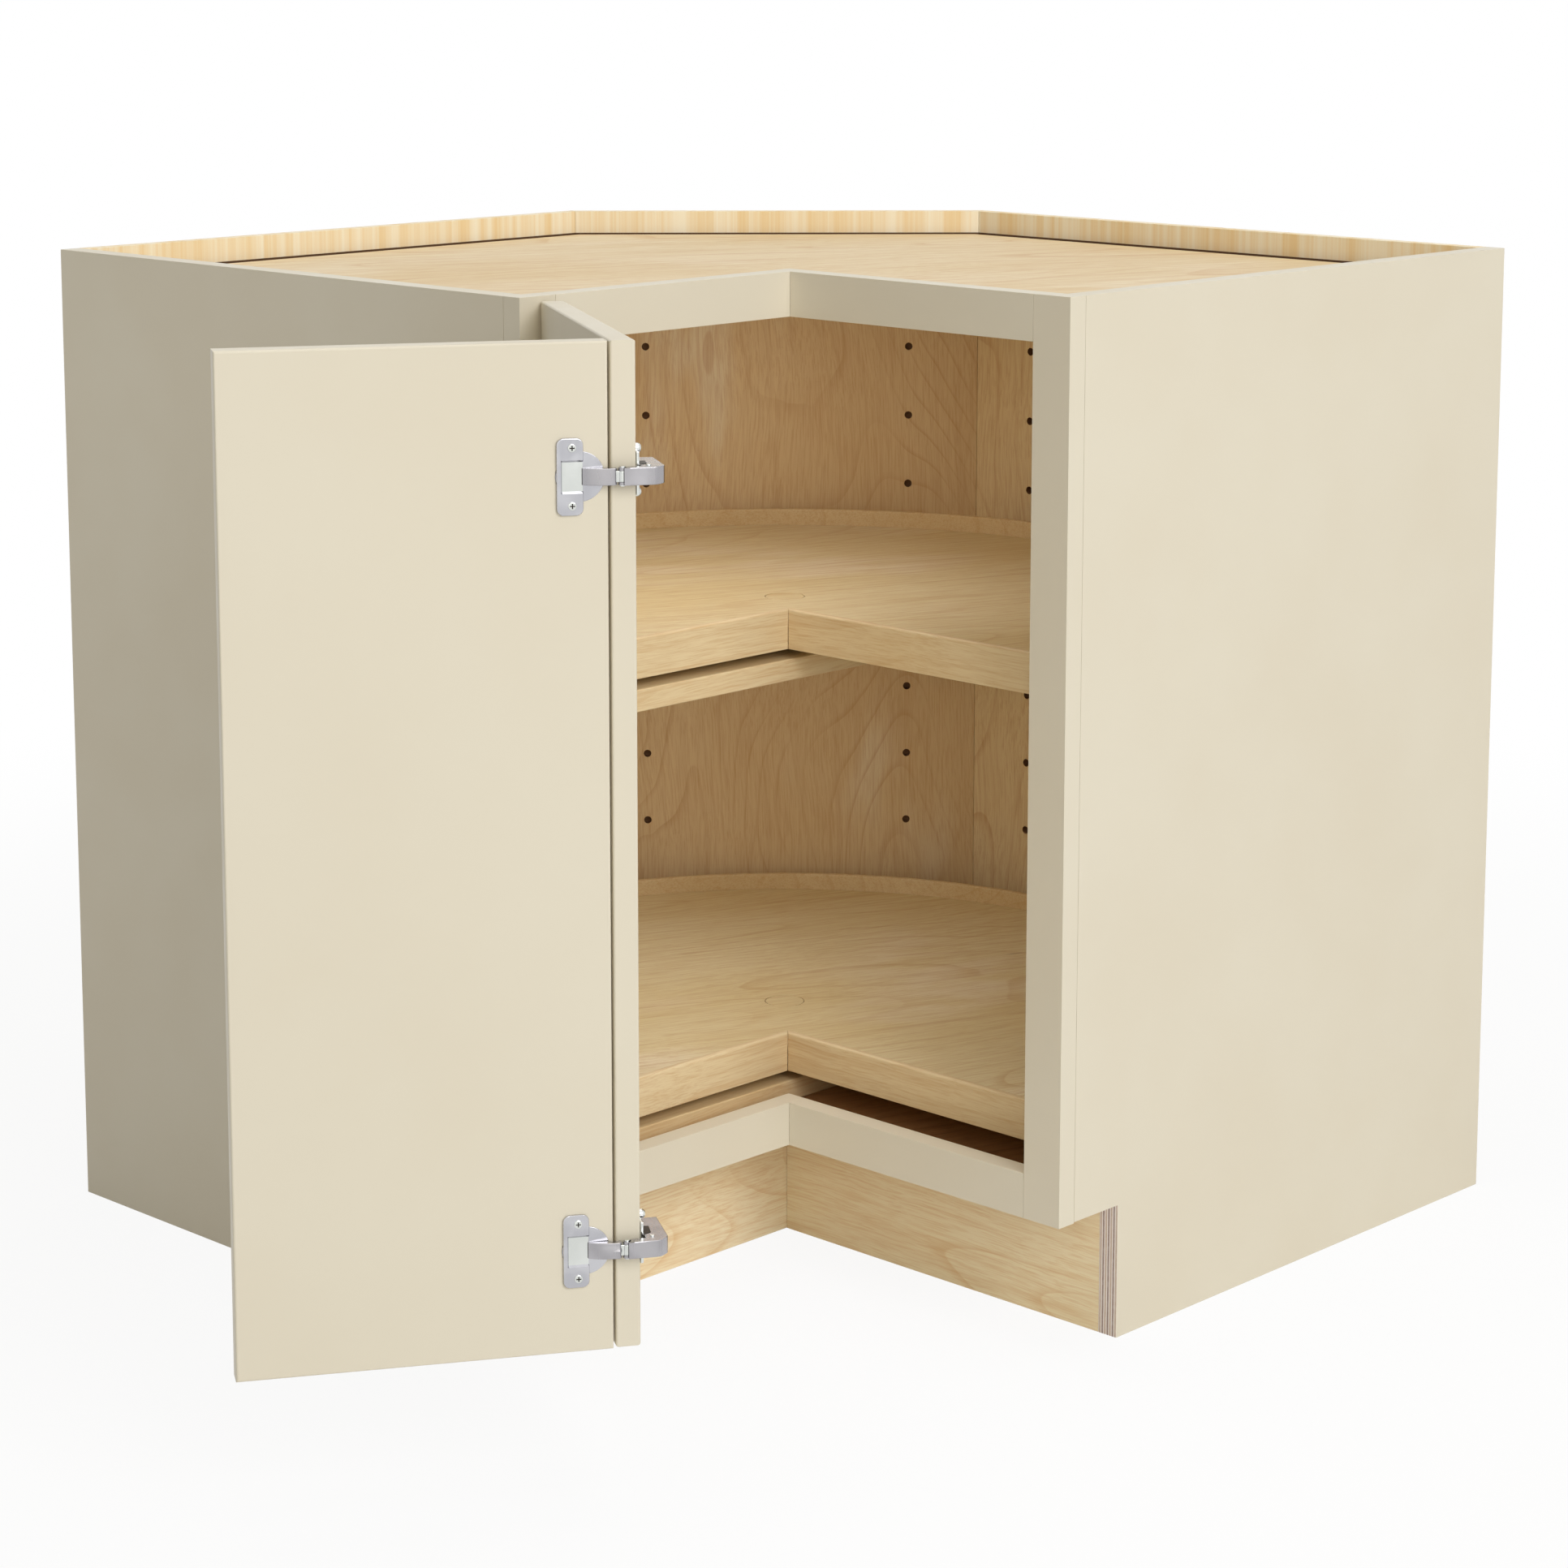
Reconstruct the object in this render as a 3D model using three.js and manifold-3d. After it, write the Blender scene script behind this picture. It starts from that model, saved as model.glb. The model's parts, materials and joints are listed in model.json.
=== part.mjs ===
// Corner base cabinet with two turning trays behind a folding pair of doors.
//
// Millimetres, +Z up. The plan is a square with a square notch cut out of the corner that faces the
// room. Plan positions are measured from the notch-side corner of that square: +X runs to the right
// arm and +Y to the left arm. The whole plan is then shifted so that the origin is on the floor,
// under the corner where the two toe boards meet.
import * as THREE from 'three';
import { mergeVertices } from 'three/addons/utils/BufferGeometryUtils.js';
import Module from 'manifold-3d';

const wasm = await Module();
wasm.setup();

// ---- carcase -------------------------------------------------------------------------------
const wallRun = 914.4; // along each wall
const armDepth = 609.6; // front of the face frame to the wall
const height = 876.3;
const endPanelThickness = 19.05;
const backPanelThickness = 12.7;
const deckThickness = 12.7;
const deckDrop = 22.3; // top of the deck below the top of the carcase
const floorThickness = 19.05;
const frameThickness = 19.05;
const stileWidth = 38.1;
const railWidth = 38.1;
const toeHeight = 114.3;
const toeRecess = 76.2;
const toeBoardThickness = 19.05;
const notchLift = 1; // the end panel's toe notch stands this much above the frame's bottom
const seat = 0.3; // gap left between pieces that bear on each other

// ---- shelf-pin holes -------------------------------------------------------------------------
const pinHoleRadius = 3.9;
const pinHoleDepth = 8;
const pinHolePitch = 70.2;
const pinHoleFirst = 248; // height of the lowest row
const pinHoleRows = 8;
const pinHoleInset = 70; // from each end of a back panel
const pinHoleSides = 12;

// ---- trays -----------------------------------------------------------------------------------
const trayClearance = 30.15; // from the trays' rims to the end panels
const cornerClearance = 17.28; // from the trays' rims to the slanting back panel
const trayFrontClearance = 25.75; // from the back of the face frame to the trays' front boards
const trayFloorThickness = 19.05;
const trayRimHeight = 35.1;
const trayRimThickness = 6.4;
const trayFrontThickness = 7.2;
const upperTrayBottom = 541.2;
const plugRadius = 18;
const plugDepth = 9;
const traySides = 60;

// ---- what carries the trays ------------------------------------------------------------------
const supportThickness = 19.05;
const supportWidth = 228.6;
const supportSetback = 23.15; // of both boards' front edges, behind the face frame
const cleatThickness = 19.05;
const cleatHeight = 38.1;
const cleatLength = 160;
const cleatInset = 10; // behind the support board's front edge
const bearingOuterRadius = 76.2;
const bearingInnerRadius = 50;
const bearingPlate = 1.6;
const bearingHeight = 7.94;
const cageInnerRadius = 58;
const cageOuterRadius = 68;
const cageThickness = 1.8;
const bearingBalls = 12;
const bearingSides = 36;

// ---- doors -----------------------------------------------------------------------------------
const doorThickness = 19.05;
const doorGap = 2; // between the doors and the frame, and between the two doors
const doorTopReveal = 4.3; // of the top rails, above the doors
const doorBottomReveal = 3.7; // of the bottom rails, below the doors
const doorSideReveal = 20.6; // of the left stile, left of the hinged door
const doorEndReveal = 2.3; // from the second door's free end to the end of the right arm
const doorMeetingInset = 4.8; // of the hinged door's end, before the frame's inner corner
const doorEdgeRadius = 2;
const swingPivotX = 6.1; // from the hinged door's end, into the door
const swingPivotY = 9.2; // in front of the door's back face
const restSwing = 122.3; // degrees that the pair stands open

// ---- hinges ----------------------------------------------------------------------------------
const hingeFromTop = 97.1;
const hingeFromBottom = 78.7;
const cupRadius = 17.5;
const cupDepth = 11.5;
const cupWall = 1.4;
const cupInset = 21; // cup centre from the door's end
const flangeThickness = 1.2;
const flangeWidth = 19.6;
const flangeHeight = 56;
const flangeCorner = 6;
const flangeInset = 28.2; // flange centre from the door's end
const flangeScrewInset = 26.8;
const flangeScrewSpacing = 42;
const screwHeadRadius = 3.8;
const screwHeadHeight = 1.1;
const screwShankRadius = 1.9;
const screwLength = 12;
const slotWidth = 0.9; // of the cross in a screw's head
const slotReach = 2.4; // of the cross, from the middle of the head
const slotDepth = 0.7;
const roundSides = 24;
const smallSides = 16;

const foldPinX = 8; // of the fold's pin, past the hinged door's end
const foldPinY = 11.8; // in front of the hinged door's back face
const foldPinRadius = 2;
const foldPinLength = 14.6;
const pinClearance = 0.3;
const knuckleRadius = 4.6;
const knuckleHeight = 8;
const strapHeight = 12; // of the fold's strap, from its cup to its knuckle
const strapWidth = 6;
const neckLength = 2.4; // of the strap's narrow neck, past its knuckle
const knuckleClearance = 1.2; // round the knuckle in the arm's slot
const armHeight = 13;
const armReach = 20; // how far the fold arm stands off the hinged door's back face
const armBevel = 7;
const armBand = 8; // thickness of the fold arm beyond the door's end
const armTail = 38; // how far the fold arm reaches back along the door
const plateThickness = 2.6;
const plateLength = 34;
const plateHeight = 32;

const frameArmLength = 34;
const frameArmWidth = 10.4;
const frameArmHeight = 16;
const linkPinX = 4.8; // of the frame link's pin, from the arm's stile side
const linkPinY = 3.5; // from the arm's front end
const linkPinRadius = 1.6;
const linkThickness = 4;
const linkNear = 9.2; // from the link's pin to its elbow
const linkFar = 12.8; // from the elbow to the end over the cup
const linkAngle = -58.6; // degrees, of the near half while the pair stands open
const linkElbow = -95.1; // degrees, from the near half to the far half
const linkTall = 6;
const framePlateHeight = 44;
const framePlateInset = 1; // behind the stile's front face

const catchLength = 8;
const catchThickness = 3;
const catchHeight = 8;

// ---- finishes --------------------------------------------------------------------------------
const paint = new THREE.MeshStandardMaterial({ color: 0xdfd6c2, roughness: 0.45, metalness: 0 });
const birch = new THREE.MeshStandardMaterial({ color: 0xd8b98d, roughness: 0.55, metalness: 0 });
const toeBirch = new THREE.MeshStandardMaterial({ color: 0xcfa970, roughness: 0.6, metalness: 0 });
const nickel = new THREE.MeshStandardMaterial({ color: 0xb9b9b6, roughness: 0.28, metalness: 1 });

// ---- places worked out from the sizes --------------------------------------------------------
const notch = wallRun - armDepth; // the frame's front faces are on x = notch and y = notch
const frameBack = notch + frameThickness;
const toeFace = notch + toeRecess;
const trayAxis = wallRun / 2;
const trayRadius = trayAxis - endPanelThickness - trayClearance;
const slantReach = trayRadius + cornerClearance + backPanelThickness; // from axis to panel back
const wallSeam = Math.SQRT2 * slantReach;
const insideWall = wallRun - backPanelThickness;
const mitre = Math.SQRT2 - 1; // run of a 135 degree corner's mitre for each unit of thickness
const floorTop = toeHeight + floorThickness;
const deckTop = height - deckDrop;
const stileInside = stileWidth + seat;

const doorBottom = toeHeight + doorBottomReveal;
const doorTop = height - doorTopReveal;
const doorBack = notch - doorGap;
const doorFront = doorBack - doorThickness;
const hingedDoorEnd = notch - doorMeetingInset;
const secondDoorEnd = doorFront - doorGap;
const pivot = { x: doorSideReveal + swingPivotX, y: doorBack - swingPivotY };
const foldPin = { x: hingedDoorEnd + foldPinX, y: doorBack - foldPinY };
const hingeLevels = { upper: doorTop - hingeFromTop, lower: doorBottom + hingeFromBottom };

const trayFront = frameBack + trayFrontClearance;
const trayFrontOffset = trayAxis - trayFront; // of the cuts in the trays, before their axis
const supportFront = frameBack + supportSetback;
const bearingStack = bearingHeight + 2 * seat;
const lowerTrayBottom = floorTop + seat + supportThickness + bearingStack;

const origin = { x: toeFace + toeBoardThickness / 2, y: toeFace + toeBoardThickness / 2 };

// ---- helpers ---------------------------------------------------------------------------------

/** A named mesh. */
function piece(name, geometry, material) {
  const mesh = new THREE.Mesh(geometry, material);
  mesh.name = name;
  return mesh;
}

/** A plain board between two corners. */
function board(name, material, [x0, y0, z0], [x1, y1, z1]) {
  const mesh = piece(name, new THREE.BoxGeometry(x1 - x0, y1 - y0, z1 - z0), material);
  mesh.position.set((x0 + x1) / 2, (y0 + y1) / 2, (z0 + z1) / 2);
  return mesh;
}

/** Shape through plan points. */
function outline(points) {
  return new THREE.Shape(points.map(([x, y]) => new THREE.Vector2(x, y)));
}

/** A plan outline raised from z0 to z1. */
function slab(points, z0, z1) {
  const geometry = new THREE.ExtrudeGeometry(outline(points), { depth: z1 - z0, bevelEnabled: false });
  return geometry.translate(0, 0, z0);
}

/** Points along an arc, angles in radians. */
function arc(x, y, radius, from, to, steps) {
  return Array.from({ length: steps + 1 }, (_, i) => {
    const angle = from + ((to - from) * i) / steps;
    return [x + radius * Math.cos(angle), y + radius * Math.sin(angle)];
  });
}

/** The same outline on the other side of the plan's diagonal. */
function mirrored(points) {
  return points.map(([x, y]) => [y, x]).reverse();
}

/** A cylinder along Z from z0 to z1. */
function post(x, y, radius, z0, z1, sides = roundSides) {
  const geometry = new THREE.CylinderGeometry(radius, radius, z1 - z0, sides);
  return geometry.rotateX(Math.PI / 2).translate(x, y, (z0 + z1) / 2);
}

/** A cylinder along Y from y0 to y1. */
function rod(x, z, radius, y0, y1, sides = roundSides) {
  const geometry = new THREE.CylinderGeometry(radius, radius, y1 - y0, sides);
  return geometry.translate(x, (y0 + y1) / 2, z);
}

/** A box between two corners, as a geometry. */
function block([x0, y0, z0], [x1, y1, z1]) {
  const geometry = new THREE.BoxGeometry(x1 - x0, y1 - y0, z1 - z0);
  return geometry.translate((x0 + x1) / 2, (y0 + y1) / 2, (z0 + z1) / 2);
}

function toSolid(geometry) {
  const bare = geometry.clone();
  bare.deleteAttribute('normal');
  bare.deleteAttribute('uv');
  const merged = mergeVertices(bare, 1e-4);
  return new wasm.Manifold(
    new wasm.Mesh({
      numProp: 3,
      vertProperties: new Float32Array(merged.attributes.position.array),
      triVerts: new Uint32Array(merged.index.array),
    }),
  );
}

function toGeometry(solid) {
  const mesh = solid.getMesh();
  const geometry = new THREE.BufferGeometry();
  geometry.setAttribute('position', new THREE.BufferAttribute(new Float32Array(mesh.vertProperties), 3));
  geometry.setIndex(new THREE.BufferAttribute(new Uint32Array(mesh.triVerts), 1));
  geometry.computeVertexNormals();
  return geometry;
}

/** Joins the first list of geometries and cuts the second list out of them. */
function shaped(joined, cut = []) {
  let solid = toSolid(joined[0]);
  for (const geometry of joined.slice(1)) {
    solid = solid.add(toSolid(geometry));
  }
  for (const geometry of cut) {
    solid = solid.subtract(toSolid(geometry));
  }
  return toGeometry(solid);
}

// ---- carcase ---------------------------------------------------------------------------------

/** Upright end panel of the left arm: its front lower corner is notched for the toe space. */
function endPanelProfile() {
  const front = frameBack + seat;
  const notchTop = toeHeight + notchLift;
  return [
    [toeFace, 0],
    [wallRun, 0],
    [wallRun, height],
    [front, height],
    [front, notchTop],
    [toeFace, notchTop],
  ];
}

function endPanels() {
  const profile = new THREE.ExtrudeGeometry(outline(endPanelProfile()), {
    depth: endPanelThickness,
    bevelEnabled: false,
  });
  // profile (u, v) and depth w stand as (w, u, v) on the left and as (u, w, v) on the right
  const standLeft = new THREE.Matrix4().set(0, 0, 1, 0, 1, 0, 0, 0, 0, 1, 0, 0, 0, 0, 0, 1);
  const left = profile.clone().applyMatrix4(standLeft);
  const right = profile.clone().rotateX(Math.PI / 2).translate(0, endPanelThickness, 0);
  return [piece('left_end_panel', left, paint), piece('right_end_panel', right, paint)];
}

/** Plan of the left back panel, mitred where it meets the slanting one. */
function wallPanelPlan() {
  return [
    [endPanelThickness + seat, insideWall],
    [wallSeam - mitre * backPanelThickness, insideWall],
    [wallSeam, wallRun],
    [endPanelThickness + seat, wallRun],
  ];
}

/** Plan of the slanting panel, drawn in by the seat at both mitres. */
function cornerPanelPlan() {
  const draw = seat / Math.SQRT2;
  const inner = wallSeam - mitre * backPanelThickness;
  return [
    [wallSeam + draw, wallRun - draw],
    [inner + draw, insideWall - draw],
    [insideWall - draw, inner + draw],
    [wallRun - draw, wallSeam + draw],
  ];
}

function pinHoleHeights() {
  return Array.from({ length: pinHoleRows }, (_, row) => pinHoleFirst + row * pinHolePitch);
}

/** Blind holes in the left back panel's inner face. */
function wallPinHoles() {
  const columns = [
    endPanelThickness + pinHoleInset,
    wallSeam - mitre * backPanelThickness - pinHoleInset,
  ];
  return columns.flatMap((x) =>
    pinHoleHeights().map((z) =>
      rod(x, z, pinHoleRadius, insideWall - 1, insideWall + pinHoleDepth, pinHoleSides),
    ),
  );
}

/** Blind holes in the slanting panel, drilled along its own normal. */
function cornerPinHoles() {
  const inner = wallSeam - mitre * backPanelThickness;
  const span = Math.SQRT2 * (insideWall - inner);
  const middle = (insideWall + inner) / 2;
  return [-1, 1].flatMap((side) =>
    pinHoleHeights().map((z) =>
      rod(side * (span / 2 - pinHoleInset), z, pinHoleRadius, -1, pinHoleDepth, pinHoleSides)
        .rotateZ(-Math.PI / 4)
        .translate(middle, middle, 0),
    ),
  );
}

function backPanels() {
  const wall = toSolid(shaped([slab(wallPanelPlan(), 0, height)], wallPinHoles()));
  const corner = shaped([slab(cornerPanelPlan(), 0, height)], cornerPinHoles());
  const left = toGeometry(wall);
  // the right panel is the left one seen in the mirror of the plan's diagonal
  const right = toGeometry(wall.mirror([1, -1, 0]));
  return [
    piece('left_back_panel', left, birch),
    piece('corner_back_panel', corner, birch),
    piece('right_back_panel', right, birch),
  ];
}

/** Plan of the floor and the deck, which fill the carcase inside the frame and the panels. */
function insidePlan() {
  const front = frameBack + seat;
  const side = endPanelThickness + seat;
  const back = insideWall - seat;
  const slant = wallSeam - mitre * (backPanelThickness + seat);
  return [
    [side, front],
    [front, front],
    [front, side],
    [back, side],
    [back, slant],
    [slant, back],
    [side, back],
  ];
}

function decks() {
  return [
    piece('bottom_panel', slab(insidePlan(), toeHeight, floorTop), birch),
    piece('top_panel', slab(insidePlan(), deckTop - deckThickness, deckTop), birch),
  ];
}

/** The left half of the face frame and the same boards on the right arm. */
function faceFrame() {
  const railBands = { bottom: [toeHeight, toeHeight + railWidth], top: [height - railWidth, height] };
  const boards = [
    board('left_stile', paint, [0, notch, toeHeight], [stileWidth, frameBack, height]),
    board('right_stile', paint, [notch, 0, toeHeight], [frameBack, stileWidth, height]),
  ];
  for (const [level, [z0, z1]] of Object.entries(railBands)) {
    boards.push(board(`${level}_rail_left`, paint, [stileInside, notch, z0], [frameBack, frameBack, z1]));
    boards.push(
      board(`${level}_rail_right`, paint, [notch, stileInside, z0], [frameBack, notch - seat, z1]),
    );
  }
  return boards;
}

function toeBoards() {
  const back = toeFace + toeBoardThickness;
  const side = endPanelThickness + seat;
  const top = toeHeight - seat;
  return [
    board('toe_board_left', toeBirch, [side, toeFace, 0], [back, back, top]),
    board('toe_board_right', toeBirch, [toeFace, side, 0], [back, toeFace - seat, top]),
  ];
}

// ---- tray supports ---------------------------------------------------------------------------

/** A board across the cabinet that carries one tray's bearing. */
function supportBoard(name, top) {
  return board(
    name,
    birch,
    [endPanelThickness + seat, supportFront, top - supportThickness],
    [insideWall - seat, supportFront + supportWidth, top],
  );
}

/** Cleats on the left end panel and the right back panel under the upper support board. */
function cleats(top) {
  const low = [supportFront + cleatInset, top - cleatHeight];
  const high = [supportFront + cleatInset + cleatLength, top];
  const left = endPanelThickness + seat;
  const right = insideWall - seat;
  return [
    board('left_cleat', birch, [left, ...low], [left + cleatThickness, ...high]),
    board('right_cleat', birch, [right - cleatThickness, ...low], [right, ...high]),
  ];
}

/** Flat steel ring about the tray axis. */
function bearingRing(name, z0) {
  const profile = [
    [bearingInnerRadius, 0],
    [bearingOuterRadius, 0],
    [bearingOuterRadius, bearingPlate],
    [bearingInnerRadius, bearingPlate],
    [bearingInnerRadius, 0],
  ].map(([r, z]) => new THREE.Vector2(r, z));
  const geometry = new THREE.LatheGeometry(profile, bearingSides).rotateX(Math.PI / 2);
  return piece(name, geometry.translate(trayAxis, trayAxis, z0), nickel);
}

/** The ring that holds the balls, with its balls, half way between the two plates. */
function ballCage(name, z0) {
  const gap = bearingHeight - 2 * (bearingPlate + seat);
  const middle = z0 + bearingHeight / 2;
  const pitchRadius = (cageInnerRadius + cageOuterRadius) / 2;
  const ring = [
    [cageInnerRadius, -cageThickness / 2],
    [cageOuterRadius, -cageThickness / 2],
    [cageOuterRadius, cageThickness / 2],
    [cageInnerRadius, cageThickness / 2],
    [cageInnerRadius, -cageThickness / 2],
  ].map(([r, z]) => new THREE.Vector2(r, z));
  const parts = [new THREE.LatheGeometry(ring, bearingSides).rotateX(Math.PI / 2)];
  for (let i = 0; i < bearingBalls; i += 1) {
    const angle = (2 * Math.PI * i) / bearingBalls;
    const ball = new THREE.OctahedronGeometry(gap / 2, 1);
    parts.push(ball.translate(pitchRadius * Math.cos(angle), pitchRadius * Math.sin(angle), 0));
  }
  return piece(name, shaped(parts).translate(trayAxis, trayAxis, middle), nickel);
}

// ---- trays -----------------------------------------------------------------------------------

/** Plan of a pie-cut disc: radius, and how far the two cut edges lie from the axis. */
function pieCut(radius, offset) {
  const reach = Math.sqrt(radius * radius - offset * offset);
  const from = Math.atan2(-reach, -offset);
  const to = Math.atan2(-offset, -reach) + 2 * Math.PI;
  return [
    [trayAxis - offset, trayAxis - offset],
    ...arc(trayAxis, trayAxis, radius, from, to, traySides),
  ];
}

/** Plan of the bent band round the tray, ending behind the two front boards. */
function bandPlan() {
  const offset = trayFrontOffset - trayFrontThickness - seat;
  const inner = trayRadius - trayRimThickness;
  const ends = (radius) => {
    const reach = Math.sqrt(radius * radius - offset * offset);
    return [Math.atan2(-reach, -offset), Math.atan2(-offset, -reach) + 2 * Math.PI];
  };
  const [outerFrom, outerTo] = ends(trayRadius);
  const [innerFrom, innerTo] = ends(inner);
  return [
    ...arc(trayAxis, trayAxis, trayRadius, outerFrom, outerTo, traySides),
    ...arc(trayAxis, trayAxis, inner, innerTo, innerFrom, traySides),
  ];
}

/** Plan of the left front board, mitred at the inner corner and cut to the band's curve. */
function frontBoardPlan() {
  const inside = trayFrontOffset - trayFrontThickness;
  const end = (offset) => trayAxis - Math.sqrt(trayRadius * trayRadius - offset * offset);
  return [
    [end(trayFrontOffset), trayFront],
    [trayFront - seat, trayFront],
    [trayFront + trayFrontThickness - seat, trayFront + trayFrontThickness],
    [end(inside), trayFront + trayFrontThickness],
  ];
}

/** One tray: floor, band, two front boards and the plug over the middle of the bearing. */
function tray(level, bottom) {
  const floorRadius = trayRadius - trayRimThickness - seat;
  const floorPlan = pieCut(floorRadius, trayFrontOffset - trayFrontThickness - seat);
  const trayFloorTop = bottom + trayFloorThickness;
  const pocket = post(trayAxis, trayAxis, plugRadius + seat, trayFloorTop - plugDepth, trayFloorTop + 1);
  const rimTop = bottom + trayRimHeight;
  const floor = shaped([slab(floorPlan, bottom, trayFloorTop)], [pocket]);
  const plug = post(trayAxis, trayAxis, plugRadius, trayFloorTop - plugDepth + seat, trayFloorTop);
  return [
    piece(`${level}_tray_floor`, floor, birch),
    piece(`${level}_tray_band`, slab(bandPlan(), bottom, rimTop), birch),
    piece(`${level}_tray_front_left`, slab(frontBoardPlan(), bottom, rimTop), birch),
    piece(`${level}_tray_front_right`, slab(mirrored(frontBoardPlan()), bottom, rimTop), birch),
    piece(`${level}_tray_plug`, plug, birch),
  ];
}

/** A tray with its bearing, from the support board up. */
function carousel(level, bottom) {
  const bearingBottom = bottom - seat - bearingHeight;
  return [
    bearingRing(`${level}_bearing_base`, bearingBottom),
    ballCage(`${level}_ball_cage`, bearingBottom),
    bearingRing(`${level}_bearing_top`, bottom - seat - bearingPlate),
    ...tray(level, bottom),
  ];
}

// ---- doors, drawn shut -----------------------------------------------------------------------

/** A slab door standing on the plan line y = 0 .. thickness, with softened edges. */
function doorSlab(width) {
  const b = doorEdgeRadius;
  const tall = doorTop - doorBottom;
  const face = outline([
    [b, b],
    [width - b, b],
    [width - b, tall - b],
    [b, tall - b],
  ]);
  const geometry = new THREE.ExtrudeGeometry(face, {
    depth: doorThickness - 2 * b,
    bevelEnabled: true,
    bevelSize: b,
    bevelThickness: b,
    bevelSegments: 3,
  });
  // the face stands up, and its thickness runs along +Y from the front to the back
  return geometry.translate(0, 0, b).rotateX(Math.PI / 2).translate(0, doorThickness, doorBottom);
}

/** Pockets for two hinge cups and their screws in a door's back face. */
function cupPockets(inset) {
  const back = doorThickness;
  return Object.values(hingeLevels).map((z) =>
    rod(inset, z, cupRadius + seat, back - cupDepth - seat, back + 1),
  );
}

function screwPilots(inset) {
  return Object.values(hingeLevels).flatMap((z) =>
    [-1, 1].map((side) =>
      rod(
        inset,
        z + (side * flangeScrewSpacing) / 2,
        screwShankRadius + seat,
        doorThickness - screwLength,
        doorThickness + 1,
        smallSides,
      ),
    ),
  );
}

/** Turns geometry drawn on the hinged door into its place on the second door. */
function ontoSecondDoor(geometry) {
  // drawn with the hinge end at x = 0 and the back face at y = thickness
  return geometry.rotateZ(-Math.PI / 2).translate(doorFront, secondDoorEnd, 0);
}

function ontoFirstDoor(geometry) {
  return geometry.translate(doorSideReveal, doorFront, 0);
}

function doors() {
  const firstWidth = hingedDoorEnd - doorSideReveal;
  const secondWidth = secondDoorEnd - doorEndReveal;
  const first = shaped([doorSlab(firstWidth)], cupPockets(cupInset));
  const secondCuts = [...cupPockets(cupInset), ...screwPilots(flangeScrewInset)];
  const second = shaped([doorSlab(secondWidth)], secondCuts);
  return [
    piece('first_door', ontoFirstDoor(first), paint),
    piece('second_door', ontoSecondDoor(second), paint),
  ];
}

// ---- hinge pieces, drawn on a door whose hinge end is at x = 0 and back face at y = thickness ----

/** The flange: a plate with rounded corners on the door's back face. */
function flangePlate(z) {
  const w = flangeWidth / 2;
  const h = flangeHeight / 2;
  const quarter = (cx, cy, from) => arc(cx, cy, flangeCorner, from, from + Math.PI / 2, 4);
  const plan = [
    ...quarter(w - flangeCorner, h - flangeCorner, 0),
    ...quarter(-w + flangeCorner, h - flangeCorner, Math.PI / 2),
    ...quarter(-w + flangeCorner, -h + flangeCorner, Math.PI),
    ...quarter(w - flangeCorner, -h + flangeCorner, (3 * Math.PI) / 2),
  ];
  const plate = slab(plan, 0, flangeThickness).rotateX(Math.PI / 2);
  return plate.translate(flangeInset, doorThickness + seat + flangeThickness, z);
}

/** The pressed cup: a hollow bowl in the door with the flange round its mouth. */
function cupParts(z) {
  const face = doorThickness + seat;
  const bowl = rod(cupInset, z, cupRadius, doorThickness - cupDepth, face + flangeThickness);
  const hollow = rod(
    cupInset,
    z,
    cupRadius - cupWall,
    doorThickness - cupDepth + cupWall,
    face + flangeThickness + 1,
  );
  return { joined: [bowl, flangePlate(z)], cut: [hollow] };
}

function flangeScrewHoles(z) {
  return [-1, 1].map((side) =>
    rod(
      flangeScrewInset,
      z + (side * flangeScrewSpacing) / 2,
      screwShankRadius + seat,
      doorThickness,
      doorThickness + 3,
      smallSides,
    ),
  );
}

/** A cross-slotted screw through the flange into the door. */
function flangeScrew(z) {
  const under = doorThickness + 2 * seat + flangeThickness;
  const top = under + screwHeadHeight;
  const head = rod(flangeScrewInset, z, screwHeadRadius, under, top, smallSides);
  const shank = rod(
    flangeScrewInset,
    z,
    screwShankRadius,
    doorThickness - screwLength + seat,
    under + screwHeadHeight / 2,
    smallSides,
  );
  const half = slotWidth / 2;
  const x = flangeScrewInset;
  const deep = top - slotDepth;
  const slots = [
    block([x - slotReach, deep, z - half], [x + slotReach, top + 1, z + half]),
    block([x - half, deep, z - slotReach], [x + half, top + 1, z + slotReach]),
  ];
  return shaped([head, shank], slots);
}

/** The fold's cup with its strap, which ends in a knuckle round the fold's pin. */
function foldCup(z) {
  const { joined, cut } = cupParts(z);
  // the pin, seen from the second door's end
  const pinX = secondDoorEnd - foldPin.y;
  const pinY = foldPin.x - doorFront;
  const face = doorThickness + seat;
  const reach = cupInset + cupRadius / 2;
  const half = strapHeight / 2;
  const shoulder = pinX + knuckleRadius + neckLength;
  const bar = slab(
    [
      [shoulder, pinY - strapWidth / 2],
      [reach, face - 2 * strapWidth / 3],
      [reach, face + strapWidth / 3 + flangeThickness],
      [shoulder, pinY + strapWidth / 2],
    ],
    z - half,
    z + half,
  );
  const neck = slab(
    [
      [pinX, pinY - strapWidth / 2],
      [shoulder + 1, pinY - strapWidth / 2],
      [shoulder + 1, pinY + strapWidth / 2],
      [pinX, pinY + strapWidth / 2],
    ],
    z - knuckleHeight / 2,
    z + knuckleHeight / 2,
  );
  const knuckle = post(pinX, pinY, knuckleRadius, z - knuckleHeight / 2, z + knuckleHeight / 2);
  const eye = post(pinX, pinY, foldPinRadius + pinClearance, z - half - 1, z + half + 1, smallSides);
  const hollowed = toSolid(shaped(joined, [...cut, ...flangeScrewHoles(z)]));
  const strap = toSolid(shaped([bar, neck, knuckle], [eye]));
  return toGeometry(hollowed.add(strap));
}

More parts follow.
